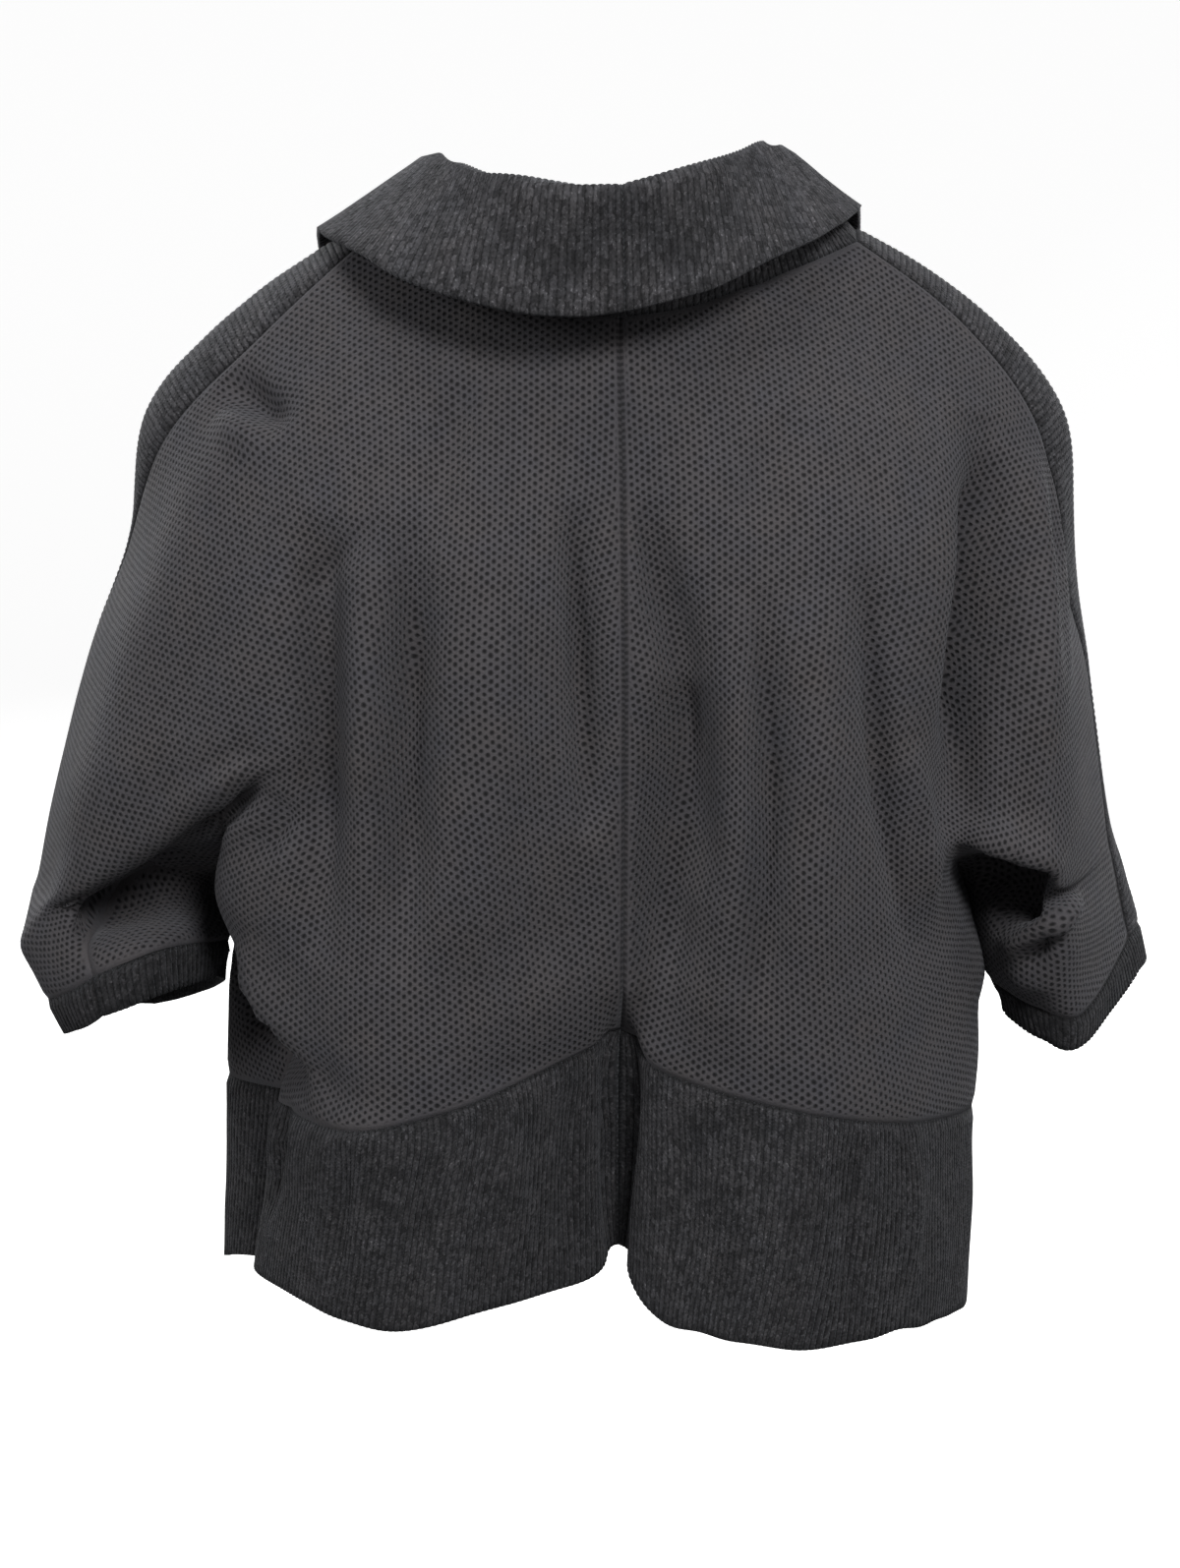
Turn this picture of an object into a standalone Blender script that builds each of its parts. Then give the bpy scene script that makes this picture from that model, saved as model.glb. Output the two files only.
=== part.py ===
"""Shawl collar cardigan: cropped, dolman sleeves to the elbow, open front.

A fine gauge knit worn and filled out with no wearer. Honeycomb mesh knit makes
the two backs and the two fronts, each cut in one with half of its sleeve. Rib
knit makes the shoulder bands, the cuffs, the deep hem bands and the shawl
collar, which runs down both front edges.

x is the wearer's left, y the back, z up, in millimetres until the mesh is made.
z = 0 is the collar seam at the centre back. Every piece is a closed wall whose
outer face lies on one shared surface, and pieces stand 0.3 mm apart at seams.
"""
import math

import bpy
import numpy as np

for old in list(bpy.data.objects):
    bpy.data.objects.remove(old, do_unlink=True)

MM = 0.001
SEAM_GAP = 0.3        # between two sewn pieces
MESH_WALL = 2.0       # honeycomb mesh knit
BAND_WALL = 2.4       # rib knit, single
COLLAR_WALL = 2.6     # rib knit of the collar
ROLL = 5.5            # radius of the collar where it turns over
ROLL_AT = (-115, -58, 0, 58, 115)      # degrees round the roll
FLAT_AT = (0, 0.16, 0.32, 0.46, 0.58, 0.70, 0.82, 0.92, 1.0)   # across an unfolded part

# ---------------------------------------------------------------- stations
# Stations round the body, as shares of the way from the centre back seam to
# the shoulder band, and from the shoulder band on to the front edge.
BACK = dict(cb=0.0, by_seam=0.07, blade=0.24, flank=0.38, crest=0.46,
            side=0.53, arm=0.70, ridge=0.86, seam=1.0)
FRONT = dict(seam_f=0.0, arm_f=0.18, inner=0.32, under=0.41, side=0.48,
             flank_f=0.61, chest=0.80, edge=1.0)
# Samples between the stations
BACK_AT = (0.0, 0.07, 0.155, 0.24, 0.31, 0.38, 0.42, 0.46, 0.495, 0.53,
           0.615, 0.70, 0.78, 0.86, 0.93, 1.0)
FRONT_AT = (0.0, 0.09, 0.18, 0.25, 0.32, 0.41, 0.48, 0.545, 0.61, 0.70, 0.80, 0.90, 1.0)
BAND_AT = (0.0, 0.5, 1.0, 1.5, 2.0)

UPPER = ("neck", "yoke", "shoulder", "blade", "chest", "low", "fold", "split")
TORSO = ("split", "web", "waist", "low_waist", "band", "hem_mid", "hem")
SLEEVE = ("split", "roll", "elbow", "above_cuff", "cuff", "cuff_edge")
UPPER_STEPS = 2       # rows of faces between two sections
TORSO_STEPS = 1
SLEEVE_STEPS = 1

# ---------------------------------------------------------------- sections
# Centre back seam: how far back and how high at each level
CENTRE_BACK = {
    #            back   up
    "neck":      (76, 3),
    "yoke":      (92, -40),
    "shoulder":  (104, -85),
    "blade":     (110, -130),
    "chest":     (112, -173),
    "low":       (111, -212),
    "fold":      (109, -243),
    "split":     (107, -265),
    "web":       (104, -284),
    "waist":     (100, -298),
    "low_waist": (96, -306),
    "band":      (92, -312),
    "hem_mid":   (84, -361),
    "hem":       (77, -410),
}

# Sections of the back as far as the shoulder band. Each station is given as
# out from the middle, back, up.
BACK_SECTIONS = {
    "left": {
        #            by_seam          blade            flank            crest            side             arm             ridge            seam
        "neck":     ((8, 75, 4),      (34, 67, 8),     (56, 57, 15),    (64, 53, 17),    (71, 49, 20),    (85, 41, 25),   (98, 33, 30),    (110, 25, 35)),
        "yoke":     ((12, 93, -40),   (46, 92, -38),   (78, 86, -34),   (88, 82, -32),   (98, 78, -29),   (118, 66, -20), (138, 50, -12),  (154, 33, -5)),
        "shoulder": ((13, 106, -85),  (56, 110, -86),  (96, 106, -84),  (110, 101, -82), (122, 95, -79),  (150, 80, -72), (178, 54, -62),  (199, 14, -53)),
        "blade":    ((14, 112, -130), (64, 119, -133), (106, 114, -134), (121, 109, -132), (135, 103, -129), (168, 86, -122), (203, 50, -112), (219, -20, -108)),
        "chest":    ((15, 114, -173), (70, 122, -178), (113, 115, -178), (129, 109, -172), (145, 102, -164), (182, 84, -164), (221, 46, -158), (236, -30, -150)),
        "low":      ((15, 114, -211), (74, 123, -218), (117, 112, -208), (138, 104, -188), (155, 97, -181), (192, 80, -190), (236, 46, -205), (250, -36, -200)),
        "fold":     ((16, 112, -243), (76, 124, -250), (124, 110, -240), (155, 91, -199), (175, 81, -207), (205, 62, -225), (246, 33, -251), (262, -38, -254)),
        "split":    ((16, 110, -265), (78, 123, -273), (130, 106, -266), (176, 66, -247), (168, 14, -245), (208, 40, -236), (256, 20, -263), (265, -39, -266)),
    },
    "right": {
        "neck":     ((8, 75, 4),      (34, 67, 8),     (56, 57, 15),    (64, 53, 17),    (71, 49, 20),    (85, 41, 25),   (98, 33, 30),    (110, 25, 35)),
        "yoke":     ((12, 93, -40),   (46, 92, -37),   (78, 85, -32),   (88, 81, -30),   (99, 76, -27),   (122, 59, -18), (143, 43, -9),   (160, 29, -4)),
        "shoulder": ((13, 106, -85),  (58, 109, -85),  (98, 104, -81),  (110, 99, -79),  (122, 94, -76),  (150, 76, -67), (174, 54, -58),  (193, 30, -51)),
        "blade":    ((14, 112, -130), (66, 118, -132), (108, 111, -130), (121, 107, -128), (134, 102, -126), (163, 84, -119), (189, 58, -112), (205, 25, -116)),
        "chest":    ((15, 115, -173), (72, 122, -180), (115, 112, -180), (128, 106, -179), (140, 99, -177), (168, 87, -172), (199, 67, -163), (220, 7, -158)),
        "low":      ((15, 114, -212), (76, 124, -221), (118, 110, -220), (130, 101, -217), (141, 93, -213), (169, 88, -208), (200, 75, -203), (228, 1, -203)),
        "fold":     ((16, 112, -244), (78, 125, -254), (120, 108, -252), (134, 97, -244), (147, 84, -232), (174, 90, -232), (199, 80, -243), (233, -1, -237)),
        "split":    ((16, 110, -266), (78, 124, -277), (126, 98, -274), (152, 64, -256), (162, 12, -254), (177, 42, -246), (199, 66, -252), (236, -3, -250)),
    },
}

# Sections of the back below the underarm, from beside the centre back seam to
# the side seam
TORSO_BACK = {
    "left": {
        #             by_seam          blade            flank            crest            side
        "web":       ((16, 109, -286), (80, 124, -295), (134, 103, -288), (171, 54, -269), (163, 18, -268)),
        "waist":     ((15, 105, -300), (82, 124, -313), (131, 104, -309), (160, 56, -291), (155, 22, -294)),
        "low_waist": ((14, 100, -309), (84, 124, -328), (124, 106, -330), (143, 68, -320), (147, 26, -321)),
        "band":      ((13, 97, -314), (80, 123, -336), (128, 107, -345), (151, 54, -346), (147, 26, -347)),
        "hem_mid":   ((13, 92, -365), (86, 124, -386), (133, 104, -387), (156, 52, -386), (152, 26, -387)),
        "hem":       ((13, 89, -418), (92, 123, -431), (138, 101, -427), (162, 50, -424), (157, 24, -425)),
    },
    "right": {
        "web":       ((16, 109, -286), (80, 125, -296), (132, 94, -293), (158, 54, -278), (163, 14, -276)),
        "waist":     ((15, 105, -300), (82, 125, -314), (135, 91, -315), (164, 48, -305), (168, 14, -300)),
        "low_waist": ((14, 101, -312), (84, 125, -328), (137, 89, -334), (165, 46, -332), (169, 13, -330)),
        "band":      ((13, 99, -322), (84, 125, -339), (137, 88, -351), (163, 44, -357), (168, 12, -358)),
        "hem_mid":   ((12, 104, -372), (80, 128, -390), (138, 87, -398), (163, 43, -403), (168, 11, -404)),
        "hem":       ((9, 112, -427), (70, 130, -440), (137, 86, -445), (161, 42, -448), (167, 9, -450)),
    },
}

# Sections of the back half of each sleeve, from the underarm seam outwards
SLEEVE_BACK = {
    "left": {
        #              side             arm              ridge            seam
        "roll":       ((205, 13, -248), (228, 33, -248), (263, 12, -272), (264, -39, -276)),
        "elbow":      ((227, 21, -259), (243, 31, -263), (267, 5, -283), (261, -38, -286)),
        "above_cuff": ((236, 36, -274), (249, 31, -283), (262, 5, -295), (256, -36, -296)),
        "cuff":       ((233, 46, -289), (246, 32, -300), (256, 7, -307), (249, -34, -305)),
        "cuff_edge":  ((229, 44, -308), (240, 31, -317), (248, 8, -323), (241, -32, -321)),
    },
    "right": {
        "roll":       ((173, 23, -277), (181, 66, -271), (201, 71, -261), (239, -5, -262)),
        "elbow":      ((175, 24, -287), (184, 62, -287), (206, 66, -279), (241, -5, -271)),
        "above_cuff": ((177, 24, -295), (188, 56, -299), (209, 59, -296), (243, -5, -280)),
        "cuff":       ((179, 23, -303), (191, 50, -309), (213, 53, -311), (245, -5, -288)),
        "cuff_edge":  ((181, 22, -317), (195, 46, -324), (213, 49, -326), (250, -8, -304)),
    },
}

# The shoulder band: its middle line and its front seam, neck to cuff
BAND_LINES = {
    "left": {
        #              middle            front seam
        "neck":       ((112, 0, 40),     (112, -25, 32)),
        "yoke":       ((160, 2, 9),      (152, -26, -3)),
        "shoulder":   ((206, -10, -40),  (192, -36, -47)),
        "blade":      ((214, -44, -106), (200, -64, -108)),
        "chest":      ((225, -54, -150), (208, -74, -150)),
        "low":        ((237, -60, -198), (217, -80, -198)),
        "fold":       ((249, -62, -244), (231, -79, -237)),
        "split":      ((253, -62, -261), (237, -77, -254)),
        "roll":       ((251, -60, -272), (234, -72, -268)),
        "elbow":      ((248, -58, -284), (229, -68, -282)),
        "above_cuff": ((242, -55, -296), (222, -63, -296)),
        "cuff":       ((235, -51, -306), (214, -58, -306)),
        "cuff_edge":  ((229, -49, -322), (210, -55, -323)),
    },
    "right": {
        "neck":       ((112, 0, 40),     (112, -25, 32)),
        "yoke":       ((165, 2, 7),      (158, -24, -5)),
        "shoulder":   ((207, 2, -41),    (196, -27, -50)),
        "blade":      ((215, -4, -108),  (208, -33, -106)),
        "chest":      ((223, -19, -155), (215, -43, -154)),
        "low":        ((229, -24, -200), (221, -48, -198)),
        "fold":       ((236, -26, -230), (227, -50, -222)),
        "split":      ((240, -27, -243), (231, -52, -234)),
        "roll":       ((244, -28, -254), (235, -52, -245)),
        "elbow":      ((247, -28, -264), (238, -52, -255)),
        "above_cuff": ((250, -28, -273), (241, -52, -265)),
        "cuff":       ((253, -29, -283), (243, -52, -275)),
        "cuff_edge":  ((257, -29, -300), (247, -52, -291)),
    },
}

# Sections of the front half of each sleeve, band seam to underarm seam
SLEEVE_FRONT = {
    "left": {
        #              arm_f             inner             under
        "split":      ((217, -82, -254), (192, -66, -252), (176, -28, -247)),
        "roll":       ((206, -71, -264), (181, -44, -261), (184, -4, -258)),
        "elbow":      ((195, -59, -274), (176, -18, -267), (196, 20, -264)),
        "above_cuff": ((187, -47, -285), (175, 1, -273), (202, 42, -270)),
        "cuff":       ((182, -37, -295), (176, 13, -280), (205, 51, -277)),
        "cuff_edge":  ((182, -35, -312), (178, 13, -297), (204, 49, -297)),
    },
    "right": {
        "split":      ((217, -75, -237), (198, -70, -243), (178, -38, -248)),
        "roll":       ((215, -71, -245), (193, -58, -253), (178, -22, -264)),
        "elbow":      ((215, -68, -255), (193, -50, -263), (180, -14, -274)),
        "above_cuff": ((216, -65, -265), (194, -44, -273), (181, -10, -284)),
        "cuff":       ((217, -62, -276), (195, -39, -284), (182, -7, -295)),
        "cuff_edge":  ((220, -59, -291), (199, -37, -299), (186, -7, -310)),
    },
}

# Sections of the front below the underarm, side seam to front edge
TORSO_FRONT = {
    "left": {
        #             flank_f           chest
        "split":     ((164, -26, -254), (142, -82, -266)),
        "web":       ((168, -16, -272), (141, -80, -284)),
        "waist":     ((173, -12, -296), (140, -79, -304)),
        "low_waist": ((174, -12, -322), (139, -78, -328)),
        "band":      ((175, -12, -348), (138, -78, -351)),
        "hem_mid":   ((176, -12, -390), (138, -77, -394)),
        "hem":       ((178, -12, -434), (139, -76, -438)),
    },
    "right": {
        "split":     ((159, -30, -260), (138, -82, -268)),
        "web":       ((164, -28, -280), (138, -81, -286)),
        "waist":     ((169, -27, -302), (138, -80, -306)),
        "low_waist": ((170, -26, -330), (138, -79, -331)),
        "band":      ((169, -27, -358), (137, -78, -356)),
        "hem_mid":   ((169, -28, -403), (137, -76, -400)),
        "hem":       ((168, -29, -449), (137, -75, -447)),
    },
}

# The front edge seam, which the collar and its band are sewn to
FRONT_EDGE = {
    #            out   back   up
    "neck":      (103, -46, 14),
    "yoke":      (97, -78, -34),
    "shoulder":  (90, -99, -84),
    "blade":     (83, -110, -130),
    "chest":     (77, -114, -176),
    "low":       (73, -115, -214),
    "fold":      (71, -114, -246),
    "split":     (70, -113, -270),
    "web":       (69, -112, -289),
    "waist":     (69, -111, -308),
    "low_waist": (68, -110, -332),
    "band":      (68, -109, -354),
    "hem_mid":   (67, -107, -398),
    "hem":       (66, -105, -444),
}
# How far the front hollows above the underarm, and how far the hollow is arched
ARMPIT_DIP = {"chest": 5.0, "low": 22.0, "fold": 56.0}
ARMPIT_ARCH = 0.25

# The collar across its width at stations along its seam: the roll line, where
# it turns over, and the free edge
COLLAR = {
    "left": {
        #              roll line         free edge
        "cb":        ((0, 94, 58),      (0, 113, 7)),
        "blade":     ((31, 88, 60),     (38, 112, 6)),
        "side":      ((60, 60, 65),     (79, 95, 15)),
        "ridge":     ((71, 34, 69),     (108, 62, 27)),
        "seam":      ((74, 16, 70),     (124, 28, 36)),
        "middle":    ((74, -10, 66),    (128, -6, 38)),
        "seam_f":    ((71, -34, 55),    (128, -39, 25)),
        "neck_edge": ((67, -58, 36),    (127, -66, 2)),
        "yoke":      ((60, -88, -12),   (120, -96, -42)),
        "shoulder":  ((52, -110, -68),  (113, -114, -92)),
        "blade_f":   ((45, -122, -124), (99, -126, -135)),
        "chest":     ((39, -127, -176), (70, -133, -178)),
        "low":       ((36, -127, -216), (40, -134, -215)),
        "fold":      ((35, -124, -247), (32, -127, -247)),
        "split":     ((34, -123, -271), (29, -125, -271)),
        "band":      ((34, -118, -355), (29, -120, -355)),
        "hem":       ((34, -112, -446), (29, -114, -446)),
    },
    "right": {
        "cb":        ((0, 94, 58),      (0, 113, 7)),
        "blade":     ((30, 84, 66),     (34, 108, 15)),
        "side":      ((54, 58, 72),     (66, 86, 29)),
        "ridge":     ((67, 32, 76),     (90, 60, 38)),
        "seam":      ((73, 14, 73),     (108, 27, 46)),
        "middle":    ((74, -10, 68),    (114, -5, 47)),
        "seam_f":    ((71, -34, 56),    (119, -41, 31)),
        "neck_edge": ((67, -58, 36),    (122, -69, 5)),
        "yoke":      ((60, -88, -12),   (120, -96, -42)),
        "shoulder":  ((52, -110, -68),  (113, -114, -92)),
        "blade_f":   ((45, -122, -124), (99, -126, -135)),
        "chest":     ((39, -127, -176), (70, -133, -178)),
        "low":       ((36, -127, -216), (40, -134, -215)),
        "fold":      ((35, -124, -247), (32, -127, -247)),
        "split":     ((34, -123, -271), (29, -125, -271)),
        "band":      ((34, -118, -355), (29, -120, -355)),
        "hem":       ((34, -112, -446), (29, -114, -446)),
    },
}


# ---------------------------------------------------------------- curves
def smooth(knots, values, at):
    """A smooth curve through values at the knots, read at each place in at."""
    t = np.asarray(knots, float)
    p = np.asarray(values, float)
    at = np.asarray(at, float)
    h = np.diff(t)
    shape = (-1,) + (1,) * (p.ndim - 1)
    d = np.diff(p, axis=0) / h.reshape(shape)
    m = np.empty_like(p)
    if len(t) > 2:
        w0, w1 = h[1:].reshape(shape), h[:-1].reshape(shape)
        m[1:-1] = (w0 * d[:-1] + w1 * d[1:]) / (w0 + w1)
        m[0] = 1.5 * d[0] - 0.5 * m[1]
        m[-1] = 1.5 * d[-1] - 0.5 * m[-2]
    else:
        m[:] = d[0]
    k = np.clip(np.searchsorted(t, at, side="right") - 1, 0, len(h) - 1)
    hk = h[k].reshape(shape)
    s = ((at - t[k]) / h[k]).reshape(shape)
    return ((2 * s**3 - 3 * s**2 + 1) * p[k] + (s**3 - 2 * s**2 + s) * hk * m[k]
            + (-2 * s**3 + 3 * s**2) * p[k + 1] + (s**3 - s**2) * hk * m[k + 1])


def down(sections, steps):
    """Rows of points lofted through the sections, steps rows to each interval."""
    s = np.asarray(sections, float)
    chord = np.linalg.norm(np.diff(s, axis=0), axis=2).mean(axis=1)
    knots = np.concatenate([[0], np.cumsum(np.maximum(chord, 1.0))])
    at = [knots[i] + (knots[i + 1] - knots[i]) * k / n
          for i, n in enumerate(steps) for k in range(n)] + [knots[-1]]
    return smooth(knots, s, at)


def within(samples, low, high):
    return [a for a in samples if low - 1e-9 <= a <= high + 1e-9]


# ---------------------------------------------------------------- the net
def front_upper(side, level):
    """Stations of a front section above the underarm, band seam to front edge:
    a quarter of an oval, with a hollow towards the armpit low down."""
    start = np.array(BAND_LINES[side][level][1], float)
    end = np.array(FRONT_EDGE[level], float)
    points = []
    for name, f in FRONT.items():
        turn = f * math.pi / 2
        x = end[0] + (start[0] - end[0]) * math.cos(turn) ** 0.9
        y = start[1] + (end[1] - start[1]) * math.sin(turn) ** 0.9
        z = start[2] + (end[2] - start[2]) * f
        if level == "neck":       # the short straight top of the front
            x, y, z = start + (end - start) * f
        dip = ARMPIT_DIP.get(level, 0.0) * math.exp(-((f - FRONT["side"]) / 0.11) ** 2)
        points.append((x, y + dip, z + ARMPIT_ARCH * dip))
    return points


def net(side):
    """The outer surface of one side of the garment, as blocks of rows that run
    down and columns that run from the centre back to the front edge."""
    cols = list(BACK.values())
    k_side = list(BACK).index("side")
    back_t = within(BACK_AT, 0, BACK["side"])
    back_s = within(BACK_AT, BACK["side"], 1)
    f_side = list(FRONT).index("side")
    fcols = list(FRONT.values())
    front_s = within(FRONT_AT, 0, FRONT["side"])
    front_t = within(FRONT_AT, FRONT["side"], 1)

    up = [[(0,) + CENTRE_BACK[n]] + list(BACK_SECTIONS[side][n]) for n in UPPER]
    torso = [[(0,) + CENTRE_BACK[n]] + list(TORSO_BACK[side][n]) for n in TORSO[1:]]
    sleeve = [list(SLEEVE_BACK[side][n]) for n in SLEEVE[1:]]

    rows_t = [smooth(cols, r, BACK_AT)[:len(back_t)] for r in up]
    rows_t += [smooth(cols[:k_side + 1], r, back_t) for r in torso]
    rows_s = [smooth(cols, r, BACK_AT)[len(back_t) - 1:] for r in up]
    rows_s += [smooth(cols[k_side:], r, back_s) for r in sleeve]
    # the last upper section is the body and the sleeve side by side
    rows_t[len(UPPER) - 1] = smooth(cols[:k_side + 1], up[-1][:k_side + 1], back_t)
    rows_s[len(UPPER) - 1] = smooth(cols[k_side:], up[-1][k_side:], back_s)

    n_up = len(UPPER) - 1
    steps_t = [UPPER_STEPS] * n_up + [TORSO_STEPS] * (len(TORSO) - 1)
    steps_s = [UPPER_STEPS] * n_up + [SLEEVE_STEPS] * (len(SLEEVE) - 1)
    body_back = down(rows_t, steps_t)
    arm_back = down(rows_s, steps_s)

    # front
    fup = [front_upper(side, n) for n in UPPER[:-1]]
    u = up[-1][k_side]
    fin = [BAND_LINES[side]["split"][1]] + list(SLEEVE_FRONT[side]["split"]) + [u]
    fout = [u] + list(TORSO_FRONT[side]["split"]) + [FRONT_EDGE["split"]]
    frows_s = [smooth(fcols, r, FRONT_AT)[:len(front_s)] for r in fup]
    frows_t = [smooth(fcols, r, FRONT_AT)[len(front_s) - 1:] for r in fup]
    frows_s.append(smooth(fcols[:f_side + 1], fin, front_s))
    frows_t.append(smooth(fcols[f_side:], fout, front_t))
    for n, r in zip(SLEEVE[1:], sleeve):
        pts = [BAND_LINES[side][n][1]] + list(SLEEVE_FRONT[side][n]) + [r[0]]
        frows_s.append(smooth(fcols[:f_side + 1], pts, front_s))
    for n, r in zip(TORSO[1:], torso):
        pts = [r[-1]] + list(TORSO_FRONT[side][n]) + [FRONT_EDGE[n]]
        frows_t.append(smooth(fcols[f_side:], pts, front_t))
    arm_front = down(frows_s, steps_s)
    body_front = down(frows_t, steps_t)

    n = n_up * UPPER_STEPS
    centre = [[(0,) + CENTRE_BACK[name]] for name in UPPER + TORSO[1:]]
    body_back[:, 0] = down(centre, steps_t)[:, 0]
    # one column is shared by body and sleeve above the underarm
    for a, b in ((body_back[:n + 1, -1], arm_back[:n + 1, 0]),
                 (body_front[:n + 1, 0], arm_front[:n + 1, -1])):
        a[:] = b[:] = (a + b) / 2
    # the side seam and the underarm seam are shared by back and front
    body_front[n:, 0] = body_back[n:, -1]
    arm_front[n:, -1] = arm_back[n:, 0]

    # shoulder band, from the back's edge over the middle line to the front's
    mids, seams = [], []
    for name in UPPER + SLEEVE[1:]:
        m, s = BAND_LINES[side][name]
        mids.append([m]), seams.append([s])
    mid = down(mids, steps_s)[:, 0]
    arm_front[:, 0] = down(seams, steps_s)[:, 0]
    band = np.array([smooth((0, 1, 2), (arm_back[i, -1], mid[i], arm_front[i, 0]), BAND_AT)
                     for i in range(len(mid))])

    cuff_row = n + SLEEVE_STEPS * (SLEEVE.index("cuff"))
    hem_row = n + TORSO_STEPS * (TORSO.index("band"))
    return dict(body_back=body_back, arm_back=arm_back, band=band, arm_front=arm_front,
                body_front=body_front, n=n, cuff=cuff_row, hem=hem_row)


def collar_net(side, g):
    """The collar: stations along the neck seam and down the front edge, each a
    curve from the seam up the stand, over the roll and down to the free edge."""
    back = np.concatenate([g["body_back"][0], g["arm_back"][0][1:]])
    front = np.concatenate([g["arm_front"][0], g["body_front"][0][1:]])
    seam = [*back, *g["band"][0][1:], *front[2:-1:2]]
    names = {"cb": 0, "blade": BACK_AT.index(BACK["blade"]), "side": BACK_AT.index(BACK["side"]),
             "ridge": BACK_AT.index(BACK["ridge"]), "seam": len(back) - 1,
             "middle": len(back) - 1 + len(BAND_AT) // 2, "seam_f": len(back) + len(BAND_AT) - 2}
    names["neck_edge"] = len(seam)
    first = len(seam)
    seam += list(g["body_front"][:, -1])
    for k, name in enumerate(UPPER[1:-1], 1):
        names[name if name != "blade" else "blade_f"] = first + k * UPPER_STEPS
    names["split"] = first + g["n"]
    names["band"] = first + g["hem"]
    names["hem"] = len(seam) - 1
    seam = np.array(seam)
    run = np.concatenate([[0], np.cumsum(np.linalg.norm(np.diff(seam, axis=0), axis=1))])
    rows = COLLAR[side]
    knots = [run[names[k]] for k in rows]
    roll = smooth(knots, [v[0] for v in rows.values()], run)
    free = smooth(knots, [v[1] for v in rows.values()], run)
    out = []
    for a, f, e in zip(seam, roll, free):
        la, le = np.linalg.norm(a - f), np.linalg.norm(e - f)
        ua, ue = (a - f) / la, (e - f) / le
        d = -(ua + ue)
        turned = float(np.dot(ua, ue))            # 1 is folded flat, -1 is not folded
        k = min(max((turned + 0.3) / 0.9, 0), 1) * min(max((le - 6) / 12, 0), 1)
        k = k * k * (3 - 2 * k)
        stops = np.concatenate([[0], np.cumsum([la, le])]) / (la + le)
        flat = np.array([a + (f - a) * min(1, t / stops[1]) + (e - f) * max(0, (t - stops[1]) / (1 - stops[1]))
                         for t in FLAT_AT])
        if k > 0:
            d /= np.linalg.norm(d)
            w = ue - ua
            w -= d * np.dot(w, d)
            w /= np.linalg.norm(w)
            loop = [f + ROLL * ((math.cos(t) - 1) * d + math.sin(t) * w) for t in map(math.radians, ROLL_AT)]
            folded = np.array([a, (a + loop[0]) / 2, *loop, (loop[-1] + e) / 2, e])
            flat = flat + (folded - flat) * k
        out.append(flat)
    return np.array(out).transpose(1, 0, 2)


# ---------------------------------------------------------------- solids
KEY = 50.0    # points closer than a fiftieth of a millimetre are one point


def key(p):
    return tuple(int(round(c * KEY)) for c in p)


def faces_of(block, flip):
    rows, cols = block.shape[:2]
    found = []
    for i in range(rows - 1):
        for j in range(cols - 1):
            q = [block[i, j], block[i, j + 1], block[i + 1, j + 1], block[i + 1, j]]
            if flip:
                q.reverse()
            if np.linalg.norm(q[0] - q[2]) > np.linalg.norm(q[1] - q[3]):
                q = q[1:] + q[:1]
            found += [(q[0], q[1], q[2]), (q[0], q[2], q[3])]
    return found


def mirror(block, side):
    return block * np.array([1.0 if side == "left" else -1.0, 1, 1])


pieces = {}       # name: (triangles of the outer surface, wall)
for side in ("left", "right"):
    g = net(side)
    n, cuff, hem = g["n"], g["cuff"], g["hem"]
    bb, ab, bd, af, bf = (g[k] for k in ("body_back", "arm_back", "band", "arm_front", "body_front"))
    ring = np.concatenate([ab, bd[:, 1:], af[:, 1:]], axis=1)
    plan = {
        "back": ([bb[:n + 1], ab[:n + 1], bb[n:hem + 1], ab[n:cuff + 1]], MESH_WALL),
        "front": ([af[:n + 1], bf[:n + 1], bf[n:hem + 1], af[n:cuff + 1]], MESH_WALL),
        "shoulder_band": ([bd[:cuff + 1]], BAND_WALL),
        "cuff": ([ring[cuff:]], BAND_WALL),
        "hem_back": ([bb[hem:]], BAND_WALL),
        "hem_front": ([bf[hem:]], BAND_WALL),
    }
    flip = side == "right"
    for name, (blocks, wall) in plan.items():
        tris = [t for b in blocks for t in faces_of(mirror(b, side), flip)]
        pieces[f"{name}_{side}"] = (tris, wall)
    tris = faces_of(mirror(collar_net(side, g), side), not flip)
    pieces[f"collar_{side}"] = (tris, COLLAR_WALL)

# one normal for each point, shared by every piece that meets there
normals = {}
for tris, wall in pieces.values():
    for a, b, c in tris:
        w = np.cross(b - a, c - a)
        for p in (a, b, c):
            normals[key(p)] = normals.get(key(p), 0) + w


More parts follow.
